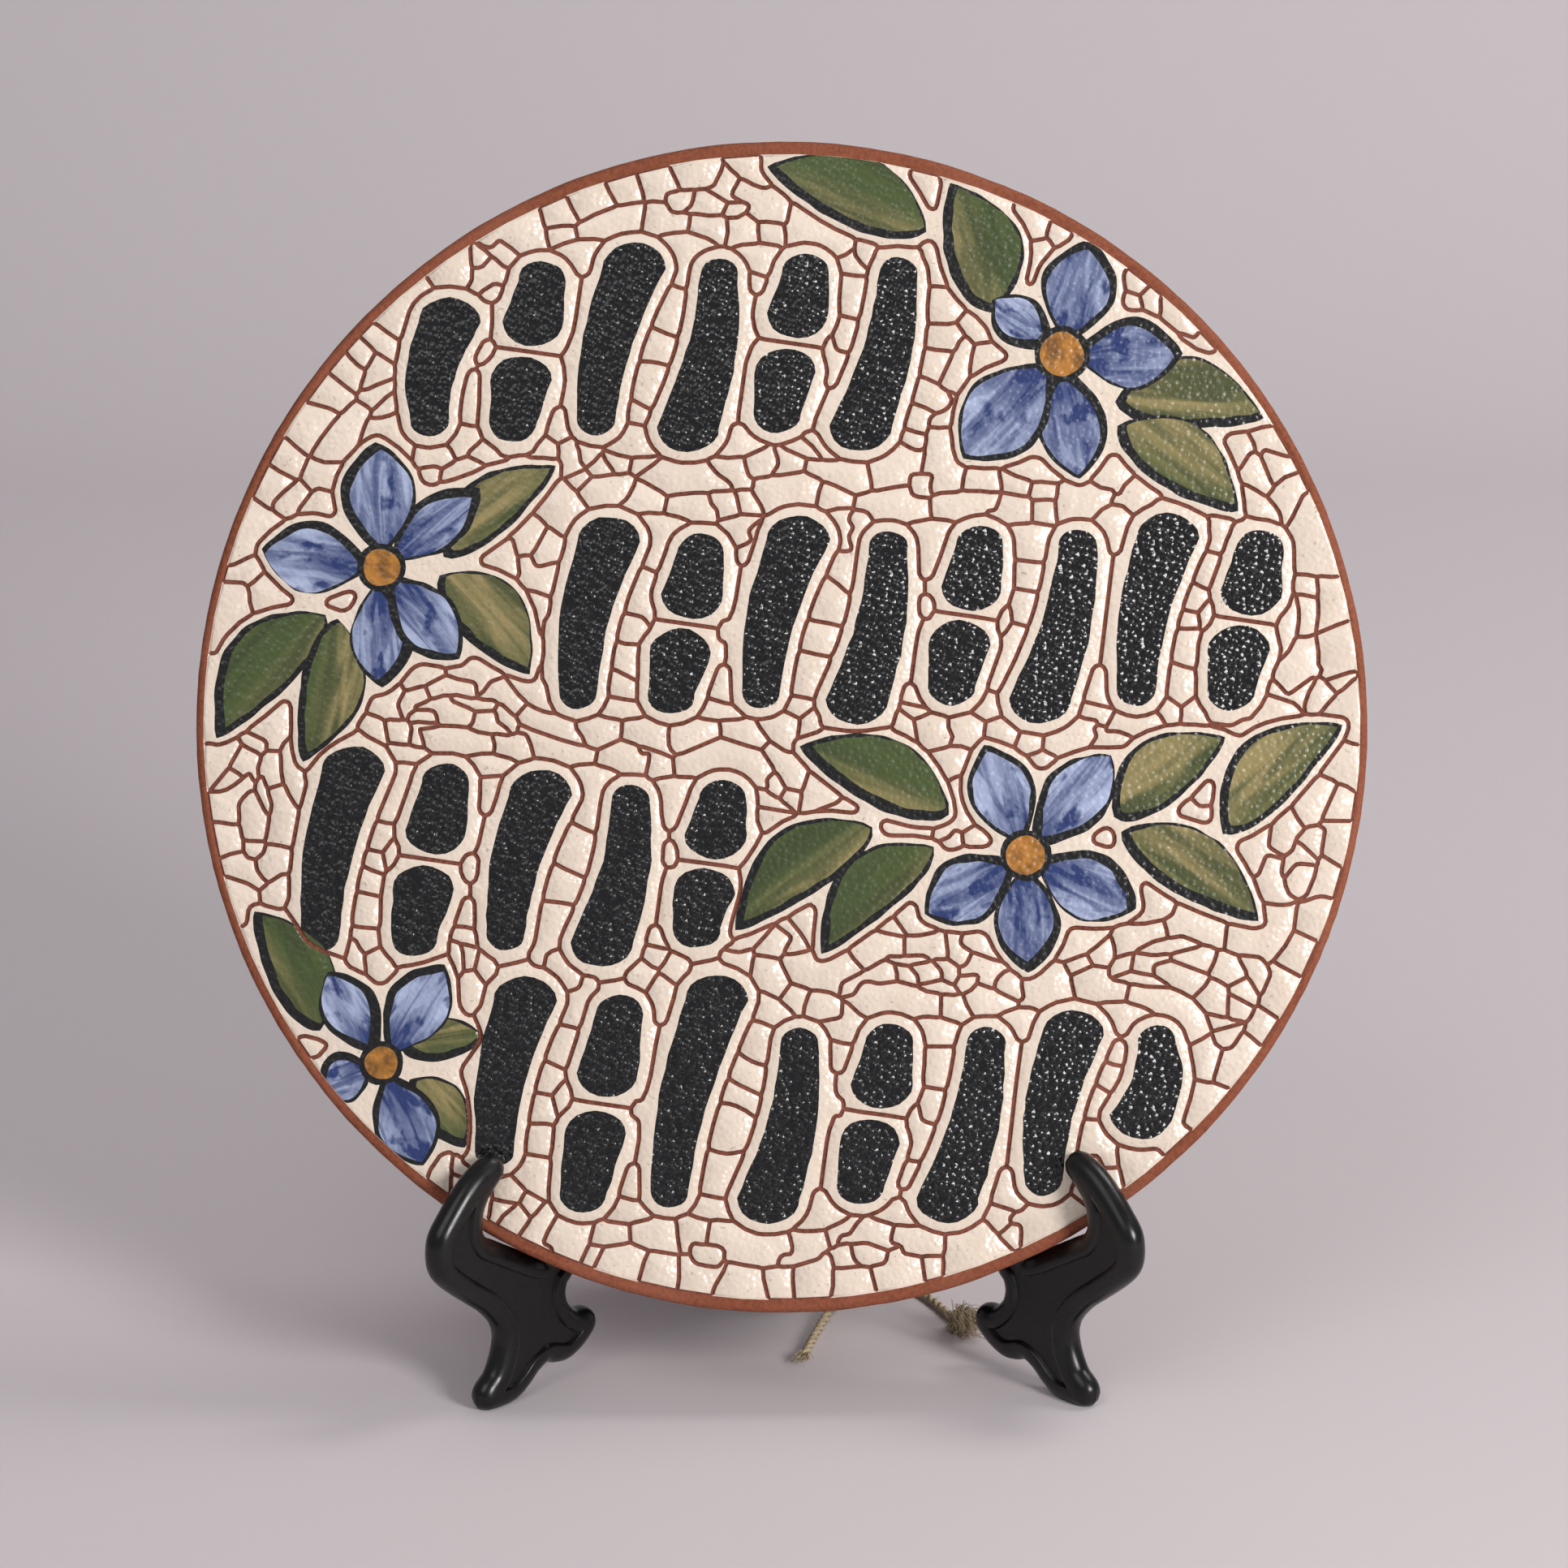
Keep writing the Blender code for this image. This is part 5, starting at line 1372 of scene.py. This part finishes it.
def start_finish(name, base, roughness, **shader_values):
    made = bpy.data.materials.new(name)
    made.use_nodes = True
    tree = made.node_tree
    shader = tree.nodes["Principled BSDF"]
    shader.inputs["Base Color"].default_value = (*base, 1.0)
    shader.inputs["Roughness"].default_value = roughness
    for key, value in shader_values.items():
        shader.inputs[key.replace("_", " ")].default_value = value
    made.diffuse_color = (*base, 1.0)
    return made, tree, shader


def object_noise(tree, scale, detail=3.0):
    place_of = add(tree, "TexCoord").outputs["Object"]
    return add(tree, "TexNoise", {"Vector": place_of, "Scale": scale, "Detail": detail,
                                  "Roughness": 0.55}).outputs["Fac"]


def blend(tree, share, first, second):
    """Mix two colours by a share that is a socket or a number."""
    first, second = (value if isinstance(value, bpy.types.NodeSocket) else (*value, 1.0)
                     for value in (first, second))
    return add(tree, "Mix", {0: share, 6: first, 7: second}, data_type='RGBA').outputs[2]


def stretch(tree, value, low, high, to_low=0.0, to_high=1.0):
    """Map a value from one range to another, held at the ends."""
    return add(tree, "MapRange", {"Value": value, "From Min": low, "From Max": high, "To Min": to_low,
                                  "To Max": to_high}).outputs["Result"]


def math_node(tree, kind, *values):
    return add(tree, "Math", dict(enumerate(values)), operation=kind).outputs[0]


def roughen(tree, shader, height, strength, distance):
    bump = add(tree, "Bump", {"Strength": strength, "Distance": distance, "Height": height})
    tree.links.new(bump.outputs["Normal"], shader.inputs["Normal"])
    tree.links.new(bump.outputs["Normal"], shader.inputs["Coat Normal"])


def pebbles(tree, shader, strength):
    """The pebbled skin of the glaze: small domes side by side, with a finer grain between them."""
    place_of = add(tree, "TexCoord").outputs["Object"]
    cells = add(tree, "TexVoronoi", {"Vector": place_of, "Scale": PEBBLE_SCALE, "Smoothness": 0.35},
                feature='SMOOTH_F1')
    dome = stretch(tree, cells.outputs["Distance"], 0.05, 0.75, 1.0, 0.0)
    fine = object_noise(tree, PEBBLE_GRAIN_SCALE, 2.0)
    height = math_node(tree, 'MULTIPLY_ADD', fine, 0.35, dome)
    roughen(tree, shader, height, strength, PEBBLE_HEIGHT)


def cream_glaze(settings):
    base = tuple(settings.cream)
    made, tree, shader = start_finish("cream_glaze", base, 0.30, Coat_Weight=0.5, Coat_Roughness=0.12)
    tone = add(tree, "Attribute", attribute_name="tone").outputs["Fac"]
    shaded = blend(tree, stretch(tree, tone, 0.0, 1.0, 0.0, 0.55), base, darker(base, 0.86))
    cloud = stretch(tree, object_noise(tree, 90.0, 4.0), 0.35, 0.75, 0.0, 0.35)
    shaded = blend(tree, cloud, shaded, (base[0] * 0.86, base[1] * 0.80, base[2] * 0.74))
    speck = stretch(tree, object_noise(tree, 1300.0, 1.0), 0.30, 0.24, 0.0, 0.5)
    shaded = blend(tree, speck, shaded, (0.30, 0.24, 0.18))
    tree.links.new(shaded, shader.inputs["Base Color"])
    pebbles(tree, shader, 0.28)
    return made


def black_glaze(settings, name="black_glaze", roughness=0.26, strength=0.6):
    base = tuple(settings.black)
    made, tree, shader = start_finish(name, base, roughness, Coat_Weight=0.45, Coat_Roughness=0.09,
                                    Specular_IOR_Level=0.3)
    cloud = stretch(tree, object_noise(tree, 260.0, 4.0), 0.35, 0.75, 0.0, 0.6)
    shaded = blend(tree, cloud, base, tuple(c * 2.0 + 0.001 for c in base))
    tree.links.new(shaded, shader.inputs["Base Color"])
    pebbles(tree, shader, strength)
    return made


def blade_guide(tree):
    """How far along a petal or leaf, how far across from its spine, and its own random number."""
    guide = add(tree, "SeparateXYZ", {0: add(tree, "UVMap", uv_map="blade").outputs["UV"]})
    across = math_node(tree, 'ABSOLUTE', math_node(tree, 'SUBTRACT', guide.outputs[1], 0.5))
    luck = add(tree, "Attribute", attribute_name="tone").outputs["Fac"]
    return guide.outputs[0], across, guide.outputs[1], luck


def brushed_noise(tree, guide, paces, **noise):
    """Noise laid along a petal or leaf, so much along it, across it and apart from the others'."""
    along, side, apart = (math_node(tree, 'MULTIPLY', value, pace) for value, pace in zip(guide, paces))
    spot = add(tree, "CombineXYZ", {0: along, 1: side, 2: apart}).outputs[0]
    return add(tree, "TexNoise", {"Vector": spot, **noise}).outputs["Fac"]


def petal_glaze(settings):
    """Watercolour blue: pale streaks along the petal, pooled dark near its foot and in blots."""
    light, dark = tuple(settings.petal_light), tuple(settings.petal_dark)
    made, tree, shader = start_finish("petal_glaze", light, 0.30, Coat_Weight=0.4, Coat_Roughness=0.10)
    along, across, side, luck = blade_guide(tree)
    streak = brushed_noise(tree, (along, side, luck), (2.2, 7.0, 40.0), Scale=0.9, Detail=4.0,
                           Roughness=0.5, Distortion=0.9)
    blot_place = add(tree, "CombineXYZ", {0: math_node(tree, 'MULTIPLY', along, 3.0),
                                          1: math_node(tree, 'MULTIPLY', side, 3.0),
                                          2: math_node(tree, 'MULTIPLY_ADD', luck, 17.0, 5.0)}).outputs[0]
    blot = add(tree, "TexNoise", {"Vector": blot_place, "Scale": 1.3, "Detail": 3.0}).outputs["Fac"]
    pooled = stretch(tree, streak, 0.38, 0.68, 0.0, 0.75)
    for value, *reach in ((along, 0.55, 0.05, 0.0, 0.5), (blot, 0.56, 0.66, 0.0, 0.7),
                          (luck, 0.0, 1.0, 0.0, 0.40), (across, 0.16, 0.42, 0.14, -0.22)):
        pooled = math_node(tree, 'ADD', pooled, stretch(tree, value, *reach))
    pooled = stretch(tree, pooled, 0.0, 1.25)
    middle = tuple(0.36 * a + 0.64 * b for a, b in zip(light, dark))
    shaded = blend(tree, stretch(tree, pooled, 0.0, 0.55), light, middle)
    shaded = blend(tree, stretch(tree, pooled, 0.5, 1.0), shaded, dark)
    tree.links.new(shaded, shader.inputs["Base Color"])
    pebbles(tree, shader, 0.34)
    return made


def leaf_glaze(settings):
    """Green with a tan light side, brushed along the leaf."""
    green, tan = tuple(settings.leaf_green), tuple(settings.leaf_tan)
    made, tree, shader = start_finish("leaf_glaze", green, 0.30, Coat_Weight=0.4, Coat_Roughness=0.10)
    along, _, side, luck = blade_guide(tree)
    streak = brushed_noise(tree, (along, side, luck), (1.8, 6.0, 40.0), Scale=0.7, Detail=3.0,
                           Roughness=0.45, Distortion=0.8)
    light_side = stretch(tree, math_node(tree, 'MULTIPLY_ADD', luck, 0.30, side), 0.42, 0.86)
    share = math_node(tree, 'MULTIPLY', light_side, stretch(tree, streak, 0.30, 0.66, 0.25, 1.0))
    share = math_node(tree, 'MULTIPLY', share, stretch(tree, along, 1.0, 0.6, 0.35, 1.0))
    shaded = blend(tree, share, green, tan)
    dark = stretch(tree, streak, 0.58, 0.36, 0.0, 0.55)
    shaded = blend(tree, dark, shaded, darker(green, 0.45))
    tree.links.new(shaded, shader.inputs["Base Color"])
    pebbles(tree, shader, 0.34)
    return made


def ochre_glaze(settings):
    base = tuple(settings.ochre)
    made, tree, shader = start_finish("ochre_glaze", base, 0.35, Coat_Weight=0.25, Coat_Roughness=0.12)
    spots = stretch(tree, object_noise(tree, 420.0, 3.0), 0.42, 0.66)
    tree.links.new(blend(tree, spots, base, darker(base, 0.40)), shader.inputs["Base Color"])
    pebbles(tree, shader, 0.4)
    return made


def fired_clay(name, base, dark_share):
    """Bare terracotta: sandy, with darker grains and paler bloom."""
    made, tree, shader = start_finish(name, base, 0.82, Specular_IOR_Level=0.3)
    grain = object_noise(tree, 1400.0, 4.0)
    cloud = object_noise(tree, 60.0, 4.0)
    dark_grains = stretch(tree, grain, 0.36, 0.60, dark_share, 0.0)
    shaded = blend(tree, dark_grains, base, darker(base, 0.42))
    shaded = blend(tree, stretch(tree, cloud, 0.45, 0.75, 0.0, 0.35), shaded,
                   tuple(min(1.0, 1.25 * c + 0.03) for c in base))
    tree.links.new(shaded, shader.inputs["Base Color"])
    roughen(tree, shader, grain, 0.55, 0.0003)
    return made


def moulded_plastic(settings):
    base = tuple(settings.plastic)
    made, tree, shader = start_finish("moulded_plastic", base, 0.24, Specular_IOR_Level=0.4)
    flow = object_noise(tree, 90.0, 2.0)
    rough = stretch(tree, object_noise(tree, 260.0, 4.0), 0.3, 0.7, 0.20, 0.36)
    tree.links.new(rough, shader.inputs["Roughness"])
    roughen(tree, shader, flow, 0.10, 0.0005)
    return made


def twine_fibre(settings):
    base = tuple(settings.shade)
    made, tree, shader = start_finish("twine_fibre", base, 0.9, Specular_IOR_Level=0.25)
    strands = object_noise(tree, 2600.0, 3.0)
    cloud = object_noise(tree, 240.0, 3.0)
    shaded = blend(tree, stretch(tree, strands, 0.38, 0.62, 0.55, 0.0), base, darker(base, 0.45))
    shaded = blend(tree, stretch(tree, cloud, 0.4, 0.7, 0.0, 0.4), shaded, darker(base, 0.75))
    tree.links.new(shaded, shader.inputs["Base Color"])
    roughen(tree, shader, strands, 0.6, 0.0002)
    return made


# Geometry nodes for the loose fibres of the twine


def fibre_nodes(finish):
    """A tree that sets short bent fibres along a curve."""
    tree = bpy.data.node_groups.new("loose_fibres", 'GeometryNodeTree')
    tree.is_modifier = True
    face = tree.interface
    face.new_socket("Twine", in_out='INPUT', socket_type='NodeSocketGeometry')
    for name, kind in (("Fibres", 'NodeSocketInt'), ("Length", 'NodeSocketFloat'),
                       ("Thickness", 'NodeSocketFloat'), ("Seed", 'NodeSocketInt')):
        face.new_socket(name, in_out='INPUT', socket_type=kind)
    face.new_socket("Fibres", in_out='OUTPUT', socket_type='NodeSocketGeometry')

    start = put(tree, 'NodeGroupInput').outputs
    points = put(tree, 'GeometryNodeResampleCurve', {"Curve": start["Twine"], "Count": start[1]},
                 mode='COUNT')
    arc = put(tree, 'GeometryNodeCurveQuadraticBezier', {
        "Resolution": 4, "Start": (0.0, 0.0, 0.0), "Middle": (0.35, 0.0, 0.55), "End": (1.0, 0.0, 0.65)})
    turn = put(tree, 'FunctionNodeRandomValue', {
        0: (-0.9, -math.pi, -math.pi), 1: (0.9, math.pi, math.pi), "Seed": start["Seed"]},
        data_type='FLOAT_VECTOR')
    size = put(tree, 'FunctionNodeRandomValue', {2: 0.35, 3: 1.0, "Seed": start["Seed"]}, data_type='FLOAT')
    scale = math_node(tree, 'MULTIPLY', size.outputs[1], start["Length"])
    fibres = put(tree, 'GeometryNodeInstanceOnPoints', {
        "Points": points.outputs[0], "Instance": arc.outputs[0], "Rotation": turn.outputs[0], "Scale": scale})
    lines = put(tree, 'GeometryNodeRealizeInstances', {0: fibres.outputs[0]})
    profile = put(tree, 'GeometryNodeCurvePrimitiveCircle', {"Resolution": 3, "Radius": start["Thickness"]})
    tubes = put(tree, 'GeometryNodeCurveToMesh', {"Curve": lines.outputs[0],
                                                  "Profile Curve": profile.outputs[0]})
    coloured = put(tree, 'GeometryNodeSetMaterial', {"Geometry": tubes.outputs[0], "Material": finish})
    put(tree, 'NodeGroupOutput', {0: coloured.outputs[0]})
    return tree


def socket_name(tree, name):
    for item in tree.interface.items_tree:
        if item.name == name and item.in_out == 'INPUT':
            return item.identifier
    raise KeyError(name)


# Operators


class PLAQUE_OT_make_plaque(bpy.types.Operator):
    """Make the fired plaque with its grooved, glazed face"""
    bl_idname = "plaque.make_plaque"
    bl_label = "Make the plaque"

    def execute(self, context):
        settings = context.scene.plaque_settings
        mesh = make_plaque_mesh(settings)
        plaque = place("mosaic_plaque", mesh, fired_clay("fired_clay", tuple(settings.clay), 0.5),
                       fired_clay("groove_clay", tuple(settings.groove_clay), 0.8), cream_glaze(settings),
                       black_glaze(settings), petal_glaze(settings), leaf_glaze(settings),
                       ochre_glaze(settings), black_glaze(settings, "brush_line", 0.36, 0.4))
        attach(plaque, "root")
        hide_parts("plaque")
        return {'FINISHED'}


class PLAQUE_OT_make_lug(bpy.types.Operator):
    """Make the pierced lug on the plaque's back"""
    bl_idname = "plaque.make_lug"
    bl_label = "Make the lug"

    def execute(self, context):
        low = (-0.5 * LUG_LENGTH, LUG_ABOVE_CENTRE - 0.5 * LUG_WIDTH, -THICKNESS - LUG_HEIGHT)
        high = (0.5 * LUG_LENGTH, LUG_ABOVE_CENTRE + 0.5 * LUG_WIDTH, -THICKNESS + LUG_ROOT)
        lug = place("hanging_lug", box_mesh("hanging_lug", low, high), bpy.data.materials["fired_clay"])
        rounding = lug.modifiers.new("rounding", 'BEVEL')
        rounding.width = LUG_ROUND
        rounding.segments = 6
        rounding.limit_method = 'NONE'
        bore = disc_mesh("bore", BORE_RADIUS, -LUG_LENGTH, LUG_LENGTH, 40)
        bore.transform(Matrix.Translation((0.0, LUG_ABOVE_CENTRE, -THICKNESS - BORE_ABOVE_BACK))
                       @ Matrix.Rotation(math.radians(90.0), 4, 'Y'))
        cut_away(lug, [bore])
        soft_shading(lug.data, 40)
        lug.data.transform(plaque_matrix())
        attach(lug, "root")
        return {'FINISHED'}


class PLAQUE_OT_make_legs(bpy.types.Operator):
    """Make the two moulded legs, lapped where they cross"""
    bl_idname = "plaque.make_legs"
    bl_label = "Make the legs"

    def execute(self, context):
        settings = context.scene.stand_settings
        finish = moulded_plastic(settings)
        for side, name in ((-1, "left"), (1, "right")):
            leg = place(f"moulded_leg_{name}", leg_mesh(f"moulded_leg_{name}", settings), finish)
            leg.data.transform(leg_matrix(side))
            seat = disc_mesh("seat", RADIUS + SEAT_GAP, -THICKNESS - SEAT_GAP, SEAT_GAP, 240)
            seat.transform(plaque_matrix())
            half_lap = 0.5 * LEG_THICKNESS + LAP_GAP
            low, high = (LAP_HEIGHT, 2.0 * BACKREST_HEIGHT) if side < 0 else (-10.0, LAP_HEIGHT + LAP_GAP)
            lap = box_mesh("lap", (-30.0, -half_lap, low), (30.0, half_lap, high))
            back = CENTRING - FOOT_FORWARD + crossing() * math.cos(LEG_SPLAY)
            lap.transform(Matrix.Translation(Vector((0.0, back, 0.0)) * MM)
                          @ Matrix.Rotation(math.radians(90.0) - side * LEG_SPLAY, 4, 'Z')
                          @ Matrix.Scale(MM, 4))
            cut_away(leg, [seat, lap])
            soft_shading(leg.data, 38)
            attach(leg, "root")
            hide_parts(f"stand_leg_{name}")
        return {'FINISHED'}


class PLAQUE_OT_make_twine(bpy.types.Operator):
    """Make the twine, its frayed ends and its loose fibres"""
    bl_idname = "plaque.make_twine"
    bl_label = "Make the twine"

    def execute(self, context):
        settings = context.scene.twine_settings
        finish = twine_fibre(settings)
        line = twine_route()
        twine = place("jute_twine", finished_mesh("jute_twine", *twisted_plies(line, settings)), finish)

        rng = random.Random(SEED + 6)
        verts, faces = [], []
        fork = frayed_end(line, rng, spread=1.6, length=4.2, count=60, lift=0.6, frizz=0.25)
        tuft = frayed_end(line[::-1], rng, spread=3.2, length=7.0, count=280, lift=3.8, frizz=0.9)
        for fibre in fork + tuft:
            tube(verts, faces, fibre, np.linspace(*FRAYED_FIBRE_RADII, len(fibre)), FIBRE_SIDES)
        ends = place("frayed_ends", finished_mesh("frayed_ends", verts, faces), finish)

        drawn = bpy.data.curves.new("twine_line", 'CURVE')
        drawn.dimensions = '3D'
        spline = drawn.splines.new('POLY')
        spline.points.add(len(line) - 1)
        for point, spot in zip(spline.points, line):
            point.co = (*(MM * spot), 1.0)
        fibres = place("loose_fibres", drawn)
        grow = fibres.modifiers.new("grow", 'NODES')
        grow.node_group = fibre_nodes(finish)
        for name, value in (("Fibres", settings.fibres), ("Length", LOOSE_FIBRE_LENGTH * MM),
                            ("Thickness", LOOSE_FIBRE_THICKNESS * MM), ("Seed", SEED)):
            grow[socket_name(grow.node_group, name)] = value
        done = fibres.evaluated_get(context.evaluated_depsgraph_get())
        mesh = bpy.data.meshes.new_from_object(done)
        bpy.data.objects.remove(fibres, do_unlink=True)
        bpy.data.curves.remove(drawn)
        heights = np.empty(3 * len(mesh.vertices))
        mesh.vertices.foreach_get("co", heights)
        heights[2::3] = np.maximum(heights[2::3], LOWEST_LOOSE_FIBRE * MM)
        mesh.vertices.foreach_set("co", heights)
        loose = place("loose_fibres", mesh)

        for piece in (twine, ends, loose):
            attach(piece, "root")
        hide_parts("hanging_twine")
        return {'FINISHED'}


class PLAQUE_OT_make_stage(bpy.types.Operator):
    """Make the floor, the lights and the camera"""
    bl_idname = "plaque.make_stage"
    bl_label = "Make the stage"

    def execute(self, context):
        scene = context.scene
        settings = scene.stage_settings
        paper = start_finish("paper", tuple(settings.floor), 0.85, Specular_IOR_Level=0.2)[0]
        profile = [(FLOOR_FRONT, 0.0), (BACKDROP, 0.0)]
        for k in range(1, SWEEP_STEPS + 1):
            turn = 0.5 * math.pi * k / SWEEP_STEPS
            profile.append((BACKDROP + SWEEP * math.sin(turn), SWEEP * (1.0 - math.cos(turn))))
        profile.append((BACKDROP + SWEEP, BACKDROP_TOP))
        verts = [(x, y, z) for y, z in profile for x in (-FLOOR_HALF_WIDTH, FLOOR_HALF_WIDTH)]
        faces = [(2 * k, 2 * k + 1, 2 * k + 3, 2 * k + 2) for k in range(len(profile) - 1)]
        mesh = bpy.data.meshes.new("paper_sweep")
        mesh.from_pydata(verts, [], faces)
        smooth_faces(mesh)
        place("paper_sweep", mesh, paper)

        for name, spot, size, watts, target in (
                ("key", (0.66, -0.80, 0.46), 0.36, settings.key_light, PLAQUE_MIDDLE),
                ("fill", (-0.5, -0.9, 1.1), 0.9, settings.fill_light, PLAQUE_MIDDLE),
                ("back", (0.75, 0.25, 1.15), 0.6, settings.back_light, BACKDROP_MIDDLE)):
            light = bpy.data.lights.new(name, 'AREA')
            light.shape = 'DISK'
            light.size = size
            light.energy = watts
            light.color = LAMP_COLOUR
            lamp = place(name, light)
            lamp.location = spot
            lamp.rotation_euler = (Vector(target) - Vector(spot)).to_track_quat('-Z', 'Y').to_euler()
        world = bpy.data.worlds.new("room")
        world.use_nodes = True
        room = world.node_tree.nodes["Background"].inputs
        room["Color"].default_value = ROOM_COLOUR
        room["Strength"].default_value = ROOM_STRENGTH
        scene.world = world
        scene.view_settings.view_transform = 'Standard'

        centre = Vector((0.0, CENTRING, PLAQUE_BOTTOM + RADIUS * math.cos(LEAN))) * MM
        back = Vector((0.0, -math.cos(LEAN), math.sin(LEAN)))
        up = Vector((0.0, math.sin(LEAN), math.cos(LEAN)))
        camera = bpy.data.cameras.new("camera")
        camera.sensor_width = SENSOR_WIDTH
        camera.lens = SENSOR_WIDTH * FOCAL_PIXELS / PICTURE_PIXELS
        camera.clip_start = NEAREST_SEEN
        eye = place("camera", camera)
        eye.location = centre + EYE_DISTANCE * back - EYE_DROP * up + Vector((EYE_ASIDE, 0.0, 0.0))
        roll = Matrix.Rotation(math.radians(EYE_ROLL), 3, back)
        eye.rotation_euler = (roll @ (-back).to_track_quat('-Z', 'Y').to_matrix()).to_euler()
        scene.camera = eye
        return {'FINISHED'}


class PLAQUE_PT_panel(bpy.types.Panel):
    """The pieces of the plaque, its stand and its twine"""
    bl_idname = "PLAQUE_PT_panel"
    bl_label = "Plaque on a stand"
    bl_space_type = 'VIEW_3D'
    bl_region_type = 'UI'
    bl_category = "Plaque"

    def draw(self, context):
        for group, operators in (
                ("plaque_settings", ("make_plaque", "make_lug")), ("stand_settings", ("make_legs",)),
                ("twine_settings", ("make_twine",)), ("stage_settings", ("make_stage",))):
            box = self.layout.box()
            settings = getattr(context.scene, group)
            for name in settings.__annotations__:
                box.prop(settings, name)
            for name in operators:
                box.operator(f"plaque.{name}")


GROUPS = {"plaque_settings": PlaqueSettings, "stand_settings": StandSettings,
          "twine_settings": TwineSettings, "stage_settings": StageSettings}
CLASSES = (*GROUPS.values(), PLAQUE_OT_make_plaque, PLAQUE_OT_make_lug, PLAQUE_OT_make_legs,
           PLAQUE_OT_make_twine, PLAQUE_OT_make_stage, PLAQUE_PT_panel)


def register():
    for cls in CLASSES:
        bpy.utils.register_class(cls)
    for name, group in GROUPS.items():
        setattr(bpy.types.Scene, name, PointerProperty(type=group))


def unregister():
    for name in GROUPS:
        delattr(bpy.types.Scene, name)
    for cls in reversed(CLASSES):
        bpy.utils.unregister_class(cls)


def main():
    register()
    for step in ("make_plaque", "make_lug", "make_legs", "make_twine", "make_stage"):
        getattr(bpy.ops.plaque, step)()


if __name__ == "__main__":
    main()
